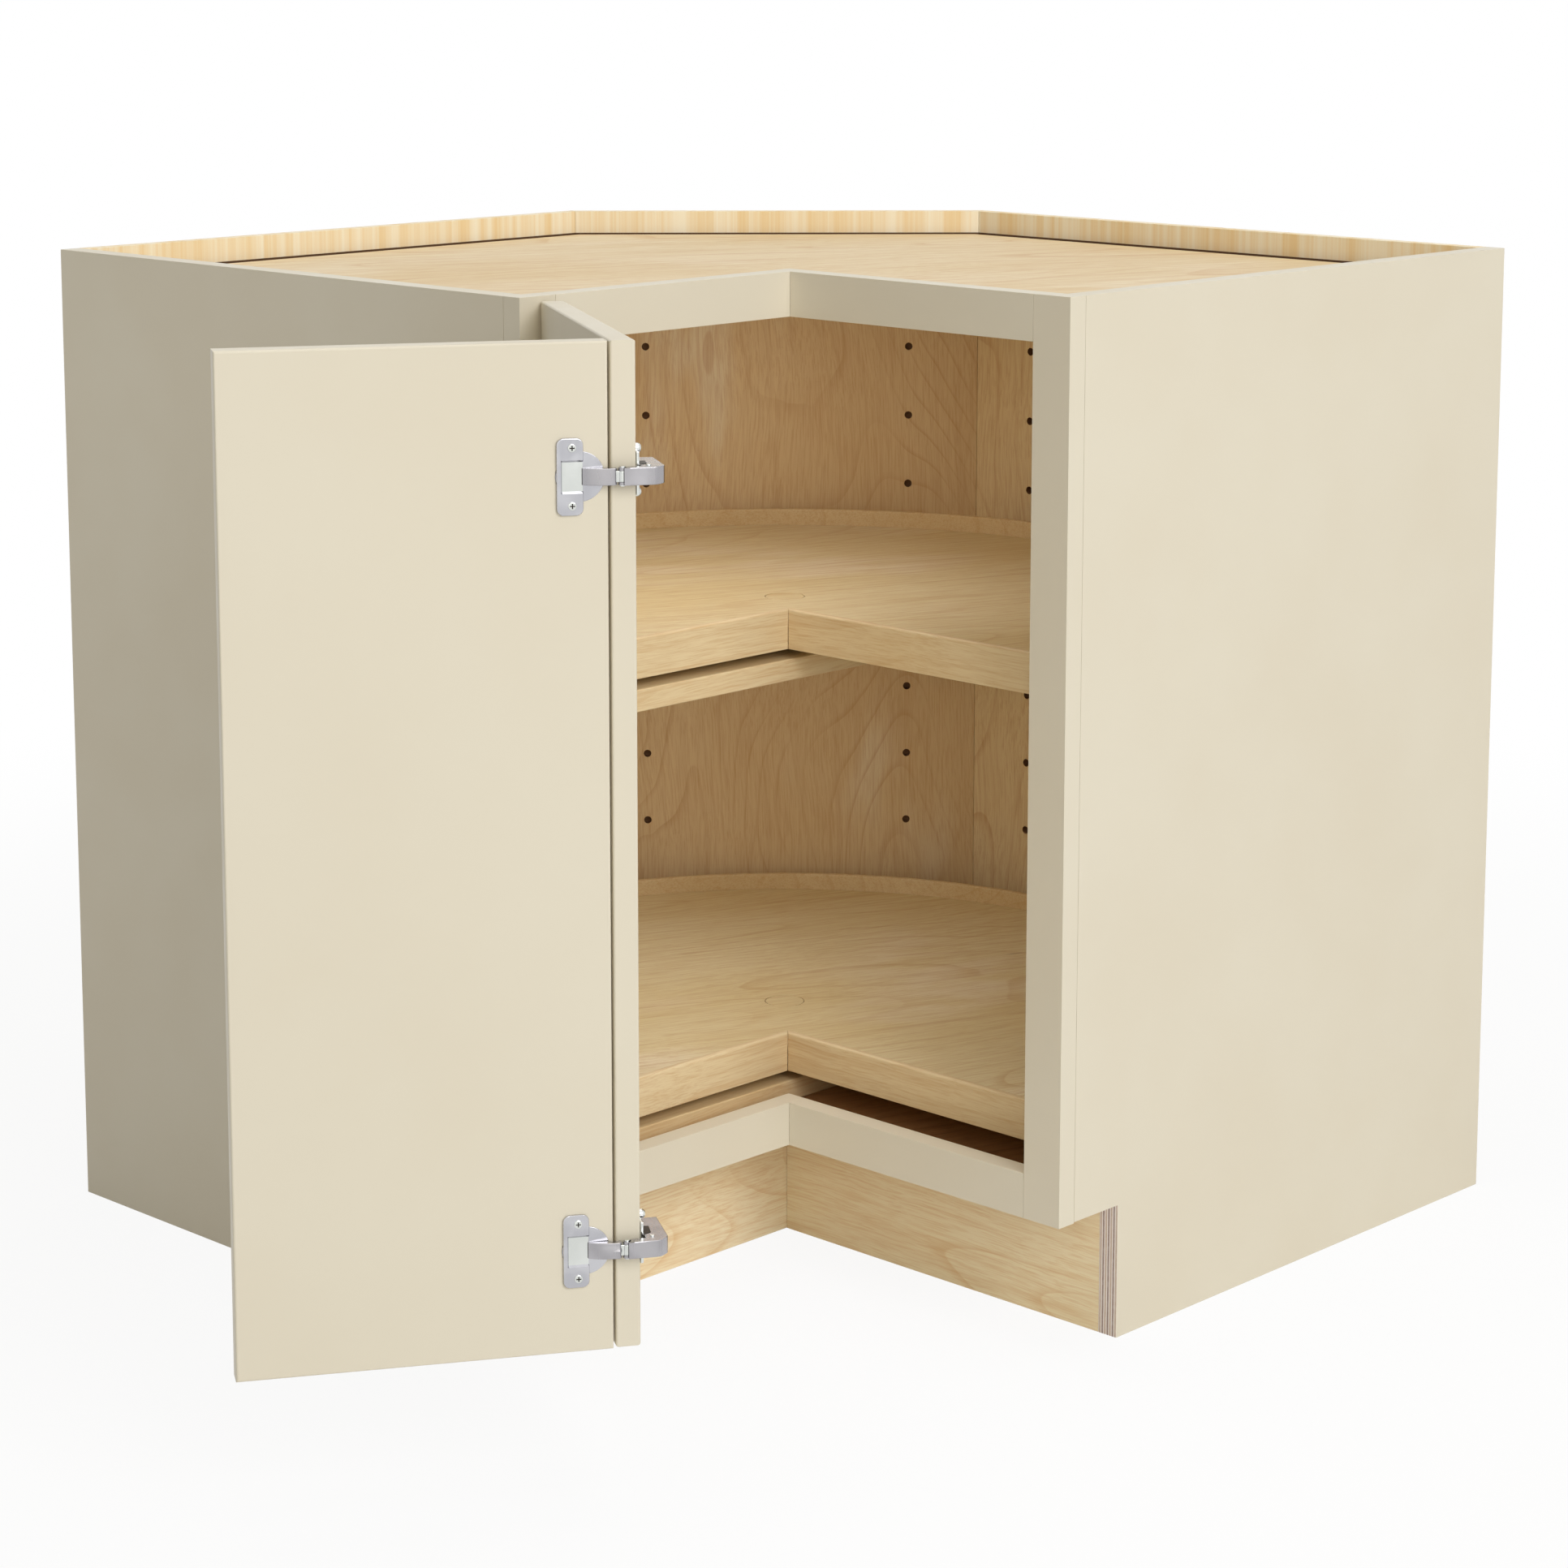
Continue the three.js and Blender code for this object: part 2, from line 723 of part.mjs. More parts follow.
/** Plan of the fold arm, drawn where the doors are shut: round the door's end and back along it. */
function foldArmPlan() {
  const inner = doorBack + plateThickness + 2 * seat;
  const top = doorBack + armReach;
  const outer = foldPin.x + knuckleRadius;
  const inside = outer - armBand;
  return [
    [outer, foldPin.y],
    [outer, top - armBevel],
    [outer - armBevel, top],
    [hingedDoorEnd - armTail, top],
    [hingedDoorEnd - armTail, inner],
    [inside, inner],
    [inside, foldPin.y],
  ];
}

function foldArm(z) {
  const half = armHeight / 2;
  const body = slab(foldArmPlan(), z - half, z + half);
  const eyeEnd = post(foldPin.x, foldPin.y, knuckleRadius, z - half, z + half);
  const gap = knuckleHeight / 2 + seat;
  const clear = knuckleRadius + knuckleClearance;
  const slot = block(
    [foldPin.x - 3 * knuckleRadius, foldPin.y - 3 * knuckleRadius, z - gap],
    [foldPin.x + 3 * knuckleRadius, foldPin.y + clear, z + gap],
  );
  const eye = post(
    foldPin.x,
    foldPin.y,
    foldPinRadius + pinClearance,
    z - half - 1,
    z + half + 1,
    smallSides,
  );
  return shaped([body, eyeEnd], [slot, eye]);
}

/** A latch lever's plan: round at its pivot, which is at the plan's origin, and flat at its free end. */
function catchPlan() {
  const r = catchThickness / 2;
  return [...arc(0, 0, r, -Math.PI / 2, Math.PI / 2, 8), [-catchLength, r], [-catchLength, -r]];
}

function catchLever(z) {
  return slab(catchPlan(), z - catchHeight / 2, z + catchHeight / 2);
}

function foldHinge(level, z) {
  const pin = post(
    foldPin.x,
    foldPin.y,
    foldPinRadius,
    z - foldPinLength / 2,
    z + foldPinLength / 2,
    smallSides,
  );
  const plateEnd = hingedDoorEnd - (armTail - plateLength) / 2;
  const plate = board(
    `${level}_fold_plate`,
    nickel,
    [plateEnd - plateLength, doorBack + seat, z - plateHeight / 2],
    [plateEnd, doorBack + seat + plateThickness, z + plateHeight / 2],
  );
  return [
    piece(`${level}_fold_cup`, ontoSecondDoor(foldCup(z)), nickel),
    piece(`${level}_fold_arm`, foldArm(z), nickel),
    piece(`${level}_fold_pin`, pin, nickel),
    plate,
    ...[-1, 1].map((side) =>
      piece(
        `${level}_fold_screw_${side > 0 ? 'top' : 'low'}`,
        ontoSecondDoor(flangeScrew(z + (side * flangeScrewSpacing) / 2)),
        nickel,
      ),
    ),
  ];
}

/** The hinged door's cup. */
function frameCup(level, z) {
  const { joined, cut } = cupParts(z);
  return piece(`${level}_frame_cup`, ontoFirstDoor(shaped(joined, cut)), nickel);
}

/** The cranked link between a frame arm and its cup, about its own pin: the near half runs along +X. */
function frameLink(z) {
  const elbow = THREE.MathUtils.degToRad(linkElbow);
  const radius = linkThickness / 2;
  const bar = (length) =>
    slab(
      [
        [0, -radius],
        [length, -radius],
        [length, radius],
        [0, radius],
      ],
      z - linkTall / 2,
      z + linkTall / 2,
    );
  const roundEnd = (x, y) => post(x, y, radius, z - linkTall / 2, z + linkTall / 2, smallSides);
  const end = { x: linkNear + linkFar * Math.cos(elbow), y: linkFar * Math.sin(elbow) };
  const half = frameArmHeight / 2 + seat;
  return shaped([
    bar(linkNear),
    bar(linkFar).rotateZ(elbow).translate(linkNear, 0, 0),
    roundEnd(0, 0),
    roundEnd(linkNear, 0),
    roundEnd(end.x, end.y),
    post(0, 0, linkPinRadius, z - half, z + half, smallSides),
  ]);
}

/** Plate, arm, link and latch on the left stile's inner edge. */
function frameHinge(level, z) {
  const plateFace = stileInside + plateThickness;
  const plate = board(
    `${level}_frame_plate`,
    nickel,
    [stileInside, notch + framePlateInset, z - framePlateHeight / 2],
    [plateFace, frameBack, z + framePlateHeight / 2],
  );
  const near = plateFace + seat;
  const front = doorBack + flangeThickness + 2 * seat;
  const half = frameArmHeight / 2;
  const pin = { x: near + linkPinX, y: front + linkPinY };
  const body = block([near, front, z - half], [near + frameArmWidth, front + frameArmLength, z + half]);
  const gap = linkTall / 2 + seat;
  const slot = block(
    [near - 1, front - 1, z - gap],
    [near + frameArmWidth + 1, pin.y + linkThickness, z + gap],
  );
  const eye = post(pin.x, pin.y, linkPinRadius + pinClearance, z - half - 1, z + half + 1, smallSides);
  const link = piece(`${level}_frame_link`, frameLink(z), nickel);
  link.position.set(pin.x, pin.y, 0);
  link.rotation.z = THREE.MathUtils.degToRad(linkAngle);
  const lever = piece(`${level}_frame_catch`, catchLever(z).rotateZ(-Math.PI / 2), nickel);
  lever.position.set(
    near + frameArmWidth / 2,
    front + frameArmLength + seat + catchThickness / 2,
    0,
  );
  return [plate, piece(`${level}_frame_arm`, shaped([body], [slot, eye]), nickel), link, lever];
}

// ---- assembly --------------------------------------------------------------------------------

/** The pair of doors and all that rides on it, drawn shut and then swung open about its pivot. */
function doorPair() {
  const shut = new THREE.Group();
  shut.add(...doors());
  for (const [level, z] of Object.entries(hingeLevels)) {
    shut.add(...foldHinge(level, z), frameCup(level, z));
  }
  shut.position.set(-pivot.x, -pivot.y, 0);
  const swung = new THREE.Group();
  swung.add(shut);
  swung.position.set(pivot.x, pivot.y, 0);
  swung.rotation.z = -THREE.MathUtils.degToRad(restSwing);
  return swung;
}

const cabinet = new THREE.Group();
const upperSupportTop = upperTrayBottom - bearingStack;
const lowerSupportTop = lowerTrayBottom - bearingStack;
cabinet.add(
  ...endPanels(),
  ...backPanels(),
  ...decks(),
  ...faceFrame(),
  ...toeBoards(),
  supportBoard('upper_support_board', upperSupportTop),
  supportBoard('lower_support_board', lowerSupportTop),
  ...cleats(upperSupportTop - supportThickness - seat),
  ...carousel('upper', upperTrayBottom),
  ...carousel('lower', lowerTrayBottom),
  doorPair(),
);
for (const [level, z] of Object.entries(hingeLevels)) {
  cabinet.add(...frameHinge(level, z));
}
cabinet.position.set(-origin.x, -origin.y, 0);

export default cabinet;
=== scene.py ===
"""Looks of a corner base cabinet: painted carcase and doors, birch inside, trays, steel hinges.

Plan positions are the millimetres of the part's source: measured from the notch-side corner of the
plan, +X along the right arm and +Y along the left arm. New pieces are drawn in millimetres and
placed in the row frame, in metres, by one matrix.
"""

from __future__ import annotations

import json
import logging
import math
from dataclasses import dataclass, field, replace
from enum import Enum
from typing import Callable, Iterable, Optional

import bmesh
import bpy
from mathutils import Euler, Matrix, Vector

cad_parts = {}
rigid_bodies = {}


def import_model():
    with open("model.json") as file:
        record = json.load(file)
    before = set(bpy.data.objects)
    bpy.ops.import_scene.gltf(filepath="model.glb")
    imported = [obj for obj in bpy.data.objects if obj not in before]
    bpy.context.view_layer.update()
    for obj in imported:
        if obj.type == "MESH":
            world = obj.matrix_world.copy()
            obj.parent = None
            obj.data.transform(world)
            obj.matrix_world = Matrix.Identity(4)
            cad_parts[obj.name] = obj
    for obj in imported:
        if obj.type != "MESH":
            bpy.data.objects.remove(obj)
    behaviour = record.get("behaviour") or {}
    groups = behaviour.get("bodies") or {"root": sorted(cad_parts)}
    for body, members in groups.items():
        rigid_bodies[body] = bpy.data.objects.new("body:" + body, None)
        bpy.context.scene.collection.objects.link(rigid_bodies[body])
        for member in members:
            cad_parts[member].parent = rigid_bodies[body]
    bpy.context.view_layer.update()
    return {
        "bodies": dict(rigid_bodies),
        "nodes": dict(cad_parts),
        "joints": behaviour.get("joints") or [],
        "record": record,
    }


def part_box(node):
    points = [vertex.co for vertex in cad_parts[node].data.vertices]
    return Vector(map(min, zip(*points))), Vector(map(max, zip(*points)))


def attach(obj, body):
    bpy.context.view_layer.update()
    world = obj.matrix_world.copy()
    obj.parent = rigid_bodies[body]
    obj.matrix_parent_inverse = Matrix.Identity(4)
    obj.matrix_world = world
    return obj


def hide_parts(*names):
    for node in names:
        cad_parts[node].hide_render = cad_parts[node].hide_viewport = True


LOG = logging.getLogger("corner_cabinet")

ORIGIN_MM = 390.525  # the row frame's origin, on both plan axes
MM = 0.001
FACING = 0.9  # a normal or edge with this share of a direction points that way
TOUCH = 0.01  # millimetres within which two levels are the same
LAP = 0.1  # millimetres by which a screw or cup reaches into what it is joined to
DOME = 0.6  # the share of a rim's height that its rounding takes
WELD = 2e-6  # metres within which two corners of a CAD mesh are the same
FLAT = math.radians(0.6)  # faces of a CAD mesh that differ by less are one
LEVELS = ("upper", "lower")
SIDES = ("left", "right")

Colour = tuple[float, float, float]
Place = tuple[float, float, float]
Pair = tuple[float, float]
Plan = tuple[Pair, ...]
Material = bpy.types.Material
Socket = bpy.types.NodeSocket
Mesh = bmesh.types.BMesh
Vert = bmesh.types.BMVert
Edge = bmesh.types.BMEdge
Face = bmesh.types.BMFace


def srgb(red: int, green: int, blue: int) -> Colour:
    """Turn an 8-bit display colour into the linear colour a shader takes.

    Args:
        red: Display red, 0 to 255.
        green: Display green, 0 to 255.
        blue: Display blue, 0 to 255.

    Returns:
        The linear colour.
    """

    def linear(level: int) -> float:
        """Return one channel's linear value."""
        share = level / 255
        return share / 12.92 if share <= 0.04045 else ((share + 0.055) / 1.055) ** 2.4

    return linear(red), linear(green), linear(blue)


def rgba(colour: object) -> object:
    """Give a plain colour its alpha, and leave a socket as it is."""
    return (*colour, 1.0) if isinstance(colour, tuple) else colour


# ---- finishes ----------------------------------------------------------------------------------

NOISE_WINDOW = (0.3, 0.7)  # where most of a noise's values lie
COAT_SPECULAR = 0.4
SEED_SHIFT = ((0.0, 1.37), (2.0, 0.83), (0.0, 0.59))  # a pattern's start and step on each axis


class Grain(Enum):
    """Which way the grain of a board runs, as the turn that lays it along the pattern's X."""

    ALONG_X = (0.0, 0.0, 0.0)
    ALONG_Y = (0.0, 0.0, -math.pi / 2)
    UPRIGHT = (0.0, math.pi / 2, 0.0)
    ACROSS = (0.0, 0.0, math.radians(22))


class Pen:
    """Draws the nodes of one material or world and joins them."""

    def __init__(self, name: str, kind: str = "materials") -> None:
        """Start an empty node tree.

        Args:
            name: The material's or world's name.
            kind: Which of Blender's lists it is made in.
        """
        self.made = getattr(bpy.data, kind).new(name)
        self.made.use_nodes = True
        self.tree = self.made.node_tree
        self.tree.nodes.clear()

    def add(self, kind: str, settings: Optional[dict] = None, **sockets: object) -> bpy.types.Node:
        """Add a node, set its options and fill or join its sockets.

        Args:
            kind: The node's type, without the leading "ShaderNode".
            settings: Options of the node itself.
            **sockets: Values or output sockets by input name, with _ for a space, or by in_NUMBER.

        Returns:
            The new node.
        """
        node = self.tree.nodes.new("ShaderNode" + kind)
        for option, value in (settings or {}).items():
            setattr(node, option, value)
        for key, value in sockets.items():
            place = int(key[3:]) if key.startswith("in_") else key.replace("_", " ")
            if isinstance(value, Socket):
                self.tree.links.new(value, node.inputs[place])
            else:
                node.inputs[place].default_value = value
        return node

    def place(self) -> Socket:
        """Return the place on the piece, in metres in the row frame."""
        return self.add("TexCoord").outputs["Object"]

    def math(self, operation: str, first: object, second: object = 0.0) -> Socket:
        """Add a Math node and return its output."""
        return self.add("Math", {"operation": operation}, in_0=first, in_1=second).outputs[0]

    def vector(self, operation: str, *operands: object) -> bpy.types.Node:
        """Add a Vector Math node and return it."""
        sockets = {f"in_{place}": operand for place, operand in enumerate(operands)}
        return self.add("VectorMath", {"operation": operation}, **sockets)

    def mix(self, share: object, first: object, second: object) -> Socket:
        """Mix two colours and return the result's output."""
        colours = {"in_6": rgba(first), "in_7": rgba(second)}
        return self.add("Mix", {"data_type": "RGBA"}, in_0=share, **colours).outputs[2]

    def span(self, value: object, window: Pair, onto: Pair = (0.0, 1.0)) -> Socket:
        """Map a window of values smoothly onto another range and return the output."""
        limits = {f"in_{place}": limit for place, limit in enumerate((value, *window, *onto))}
        return self.add("MapRange", {"interpolation_type": "SMOOTHSTEP"}, **limits).outputs[0]

    def stretched(self, point: Socket, along: float, up: float = 1.0) -> Socket:
        """Scale a pattern's coordinates along X and up Z and return them."""
        return self.add("Mapping", in_0=point, in_3=(along, 1.0, up)).outputs[0]

    def pushed(self, point: Socket, noise: Noise, reach: float) -> Socket:
        """Return a point pushed about by a noise, by up to a reach in metres."""
        push = noise.node(self, point).outputs["Color"]
        return self.vector("MULTIPLY_ADD", push, (reach,) * 3, point).outputs[0]

    def seen(self) -> Socket:
        """Tell the rays that show a thing from those that only light it.

        Returns:
            1 for rays from the camera, straight or by reflection or glass, and 0 for others.
        """
        path = self.add("LightPath").outputs
        straight = self.math("MAXIMUM", path["Is Camera Ray"], path["Is Glossy Ray"])
        return self.math("MAXIMUM", straight, path["Is Transmission Ray"])

    def surface(
        self, colour: object, roughness: object, bump: object, height_mm: float, **sockets: object
    ) -> Material:
        """Finish the material with one glossy surface shader.

        Args:
            colour: Base colour or the socket that gives it.
            roughness: Roughness or the socket that gives it.
            bump: The socket that gives the relief, 0 to 1.
            height_mm: Height of the relief.
            **sockets: More sockets of the shader.

        Returns:
            The finished material.
        """
        relief = self.add("Bump", Strength=1.0, Distance=height_mm * MM, Height=bump).outputs[0]
        sockets.update(Base_Color=rgba(colour), Roughness=roughness, Normal=relief)
        shader = self.add("BsdfPrincipled", **sockets)
        self.add("OutputMaterial", Surface=shader.outputs[0])
        return self.made


@dataclass(frozen=True)
class Noise:
    """One noise of a pattern: how fine, how rough, what part is read, and how it is stretched."""

    scale: float
    detail: float = 2.0
    roughness: float = 0.5
    window: Pair = NOISE_WINDOW
    along: float = 1.0
    up: float = 1.0

    def node(self, pen: Pen, point: Socket) -> bpy.types.Node:
        """Add the noise's nodes.

        Args:
            pen: Draws them.
            point: Where the noise is read.

        Returns:
            The node that gives the noise.
        """
        if (self.along, self.up) != (1.0, 1.0):
            point = pen.stretched(point, self.along, self.up)
        sockets = {"Scale": self.scale, "Detail": self.detail, "Roughness": self.roughness}
        return pen.add("TexNoise", Vector=point, **sockets)

    def value(self, pen: Pen, point: Socket) -> Socket:
        """Return the noise itself."""
        return self.node(pen, point).outputs["Fac"]

    def read(self, pen: Pen, point: Socket, onto: Pair = (0.0, 1.0)) -> Socket:
        """Return the noise's window mapped onto a range."""
        return pen.span(self.value(pen, point), self.window, onto)


@dataclass(frozen=True)
class SatinPaint:
    """Sprayed satin paint: nearly even, with a faint mottle and the soft ripple of a spray gun."""

    colour: Colour = srgb(224, 216, 197)
    deeper: Colour = srgb(222, 213, 193)
    mottle: Noise = Noise(5.0, 3.0)
    cloud: Noise = Noise(20.0)
    sheen: Pair = (0.4, 0.48)
    ripple: Noise = Noise(260.0)
    ripple_mm: float = 0.012

    def dress(self, name: str) -> Material:
        """Make the paint.

        Args:
            name: The material's name.

        Returns:
            The material.
        """
        pen = Pen(name)
        place = pen.place()
        colour = pen.mix(self.mottle.read(pen, place), self.colour, self.deeper)
        sheen = self.cloud.read(pen, place, self.sheen)
        ripple = self.ripple.value(pen, place)
        return pen.surface(colour, sheen, ripple, self.ripple_mm, Specular_IOR_Level=COAT_SPECULAR)


@dataclass(frozen=True)
class Veneer:
    """Clear-coated birch: growth lines that follow a stretched noise, fibres, flame and knots.

    The growth lines are steps of a slow noise: crisp on one side, fading on the other, as on
    rotary-cut veneer. A striped board has a band of painted shade at one height of its inner face,
    where the deck meets it, standing in for the shadow in the gap there, and stripes above it.
    """

    pale: Colour
    deep: Colour
    line: Colour
    flame: Colour = srgb(244, 230, 200)
    knot: Colour = srgb(128, 84, 48)
    stripes: Optional[tuple[Colour, Colour]] = None
    # painted shade in the gap where the deck meets a striped board
    slit_shade: Colour = srgb(84, 58, 34)
    # where the band of painted shade and the stripes begin
    shade_and_stripe_levels: Pair = (0.8505, 0.8549)
    rings: float = 34.0
    figure_scale: float = 3.2
    stretch: float = 0.22
    bend: float = 0.06
    waver: float = 0.005
    line_share: float = 0.42
    faint_line_share: float = 0.12
    line_rise: float = 0.03
    line_fall: float = 0.24
    strand_share: float = 0.3
    flame_share: float = 0.5
    flame_width: float = 0.07
    fibre_share: float = 0.36
    fibre_mm: float = 0.02
    knot_share: float = 0.55
    knot_scale: float = 6.5
    knot_stretch: float = 0.25
    knot_edge: Pair = (0.008, 0.026)
    sheen: Pair = (0.45, 0.56)
    sweep: Noise = Noise(3.0, along=0.5)
    ripple: Noise = Noise(24.0, along=0.5)
    shade: Noise = Noise(4.0, 3.0, 0.55, (0.34, 0.68), 0.34)
    crest: Noise = Noise(5.0, 4.0, 0.6, along=0.3)
    flame_place: Noise = Noise(3.5, 1.0, window=(0.5, 0.68))
    strand: Noise = Noise(190.0, 4.0, 0.65, (0.44, 0.7), 0.025)
    fibre: Noise = Noise(760.0, 3.0, 0.65, (0.42, 0.68), 0.035)
    strength: Noise = Noise(14.0, window=(0.36, 0.66), along=0.3)
    band: Noise = Noise(60.0, 4.0, 0.7, (0.34, 0.68), 0.01)

    def dress(
        self, name: str, grain: Grain, seed: float, outer: Optional[tuple[Vector, float]] = None
    ) -> Material:
        """Make the material of one board.

        Args:
            name: The material's name.
            grain: Which way the grain runs.
            seed: Shifts the pattern, so that no two boards are alike.
            outer: For a striped board, the direction of its outer face and how far out it lies.

        Returns:
            The material.
        """
        pen = Pen(name)
        place = pen.place()
        shift = [start + seed * step for start, step in SEED_SHIFT]
        point = pen.add("Mapping", in_0=place, in_1=shift, in_2=grain.value).outputs[0]
        bent = pen.pushed(pen.pushed(point, self.sweep, self.bend), self.ripple, self.waver)
        fibre = self.fibre.value(pen, bent)
        colour = self.growth_lines(pen, bent, self.ground(pen, bent))
        share = pen.span(fibre, self.fibre.window, (0.0, self.fibre_share))
        colour = pen.mix(share, colour, self.line)
        if self.stripes and outer:
            colour = self.above_deck(pen, place, point, colour, outer)
        sheen = pen.span(fibre, NOISE_WINDOW, self.sheen)
        return pen.surface(colour, sheen, fibre, self.fibre_mm, Specular_IOR_Level=COAT_SPECULAR)

    def ground(self, pen: Pen, bent: Socket) -> Socket:
        """Draw what lies under the lines: broad shades, pale flame and strands along the grain.

        Args:
            pen: Draws the nodes.
            bent: The pattern's coordinates.

        Returns:
            The colour.
        """
        colour = pen.mix(self.shade.read(pen, bent), self.pale, self.deep)
        crest = pen.math("ABSOLUTE", pen.math("SUBTRACT", self.crest.value(pen, bent), 0.5))
        crest = pen.span(crest, (0.0, self.flame_width), (self.flame_share, 0.0))
        flame = pen.math("MULTIPLY", crest, self.flame_place.read(pen, bent))
        colour = pen.mix(flame, colour, self.flame)
        return pen.mix(self.strand.read(pen, bent, (0.0, self.strand_share)), colour, self.line)

    def growth_lines(self, pen: Pen, bent: Socket, colour: Socket) -> Socket:
        """Draw the growth lines and a few pin knots.

        Args:
            pen: Draws the nodes.
            bent: The pattern's coordinates.
            colour: The colour under them.

        Returns:
            The colour with the lines and knots.
        """
        figure = Noise(self.figure_scale, 1.5, 0.4, along=self.stretch).value(pen, bent)
        step = pen.math("FRACT", pen.math("MULTIPLY", figure, self.rings))
        fall = pen.span(step, (0.0, self.line_fall), (1.0, 0.0))
        line = pen.math("MULTIPLY", fall, pen.span(step, (0.0, self.line_rise)))
        strength = self.strength.read(pen, bent, (self.faint_line_share, self.line_share))
        colour = pen.mix(pen.math("MULTIPLY", line, strength), colour, self.line)
        point = pen.stretched(bent, self.knot_stretch)
        away = pen.add("TexVoronoi", Vector=point, Scale=self.knot_scale).outputs["Distance"]
        return pen.mix(pen.span(away, self.knot_edge, (self.knot_share, 0.0)), colour, self.knot)

    def above_deck(
        self, pen: Pen, place: Socket, point: Socket, colour: Socket, outer: tuple[Vector, float]
    ) -> Socket:
        """Stripe the inside above the deck, and paint shade in a band where the deck meets it.

        Args:
            pen: Draws the nodes.
            place: The place on the piece.
            point: The pattern's coordinates.
            colour: The board's colour.
            outer: The direction of the board's outer face and how far out it lies.

        Returns:
            The colour with the band of painted shade and the stripes.
        """
        direction, distance = outer
        depth = pen.vector("DOT_PRODUCT", place, tuple(direction)).outputs["Value"]
        inside = pen.math("LESS_THAN", depth, distance - MM)
        height = pen.add("SeparateXYZ", in_0=place).outputs[2]
        striped = pen.mix(self.band.read(pen, point), *self.stripes)
        # the lower level starts the band of painted shade, the upper one the stripes
        for level, paint in zip(self.shade_and_stripe_levels, (self.slit_shade, striped)):
            share = pen.math("MULTIPLY", inside, pen.math("GREATER_THAN", height, level))
            colour = pen.mix(share, colour, paint)
        return colour


@dataclass(frozen=True)
class PlyEdge:
    """The bare edge of plywood: pale glue lines between darker and lighter plies."""

    thickness: float
    pale: Colour = srgb(250, 245, 241)
    mid: Colour = srgb(206, 184, 166)
    dark: Colour = srgb(160, 136, 126)
    plies: int = 7
    seam: Pair = (0.14, 0.22)
    waver: Noise = Noise(30.0)
    waver_reach: float = 0.0004
    grit: Noise = Noise(900.0, 3.0, 0.7, (0.35, 0.75), up=0.25)
    grit_share: float = 0.3
    grit_mm: float = 0.15
    roughness: float = 0.75

    def dress(self, name: str, across: Vector, start: float) -> Material:
        """Make the material of one panel's edges.

        Args:
            name: The material's name.
            across: The direction through the panel's thickness.
            start: How far along it the panel's first face lies, in metres.

        Returns:
            The material.
        """
        pen = Pen(name)
        place = pen.place()
        bent = pen.pushed(place, self.waver, self.waver_reach)
        depth = pen.vector("DOT_PRODUCT", bent, tuple(across)).outputs["Value"]
        deep = pen.math("DIVIDE", pen.math("SUBTRACT", depth, start), self.thickness * MM)
        layer = pen.math("MULTIPLY", deep, float(self.plies))
        odd = pen.math("PINGPONG", pen.math("FLOOR", layer), 1.0)
        seam = pen.math("PINGPONG", layer, 0.5)
        grit = self.grit.value(pen, place)
        colour = pen.mix(odd, self.mid, self.dark)
        share = pen.span(grit, self.grit.window, (0.0, self.grit_share))
        colour = pen.mix(share, colour, self.pale)
        colour = pen.mix(pen.span(seam, self.seam, (1.0, 0.0)), colour, self.pale)
        return pen.surface(colour, self.roughness, grit, self.grit_mm)


@dataclass(frozen=True)
class PaintedRecessShade:
    """A raw-wood colour darkened as painted shade, down holes, in the deck's groove and round the
    tray plugs.
    """

    # raw-wood colours darkened as painted shade
    colour: Colour = srgb(150, 112, 76)
    burnt: Colour = srgb(120, 84, 54)
    grit: Noise = Noise(900.0, 3.0)
    grit_mm: float = 0.1
    roughness: float = 0.85

    def dress(self, name: str) -> Material:
        """Make the dark raw wood that paints shade.

        Args:
            name: The material's name.

        Returns:
            The material.
        """
        pen = Pen(name)
        grit = self.grit.value(pen, pen.place())
        colour = pen.mix(grit, self.colour, self.burnt)
        return pen.surface(colour, self.roughness, grit, self.grit_mm)


@dataclass(frozen=True)
class PlatedSteel:
    """Nickel-plated pressed steel, with faint rolling marks."""

    colour: Colour = srgb(202, 202, 206)
    dull: Colour = srgb(186, 186, 191)
    roughness: float = 0.16
    marks: Noise = Noise(120.0, up=0.1)
    marks_share: float = 0.08
    cloud: Noise = Noise(45.0, window=(0.35, 0.65))
    cloud_mm: float = 0.002

    def dress(self, name: str) -> Material:
        """Make the steel.

        Args:
            name: The material's name.

        Returns:
            The material.
        """
        pen = Pen(name)
        place = pen.place()
        cloud = self.cloud.value(pen, place)
        colour = pen.mix(pen.span(cloud, self.cloud.window), self.colour, self.dull)
        sheen = self.marks.read(pen, place, (self.roughness, self.roughness + self.marks_share))
        return pen.surface(colour, sheen, cloud, self.cloud_mm, Metallic=1.0)


class Tone(Enum):
    """The tones of a hinge's nickel by slot: plain, painted shade, painted highlight, satin partly
    painted shade.
    """

    PLAIN = PlatedSteel()
    # a dark copy of the nickel, painted as the shade in screw recesses, openings and the strap's
    # end
    PAINTED_SHADE = PlatedSteel(srgb(70, 66, 62), srgb(52, 48, 44), 0.4)
    # a light copy of the nickel, painted as a highlight on the dish, screw heads, neck, knuckle,
    # pin and plate
    PAINTED_HIGHLIGHT = PlatedSteel(srgb(222, 225, 221), srgb(213, 216, 212))
    # a rougher satin copy, its darker colour partly painted shade on the strap and arm
    SATIN = PlatedSteel(srgb(182, 180, 183), srgb(168, 166, 169), 0.24)

    @property
    def slot(self) -> int:
        """Return the tone's place among the hinge's materials."""
        return list(Tone).index(self)


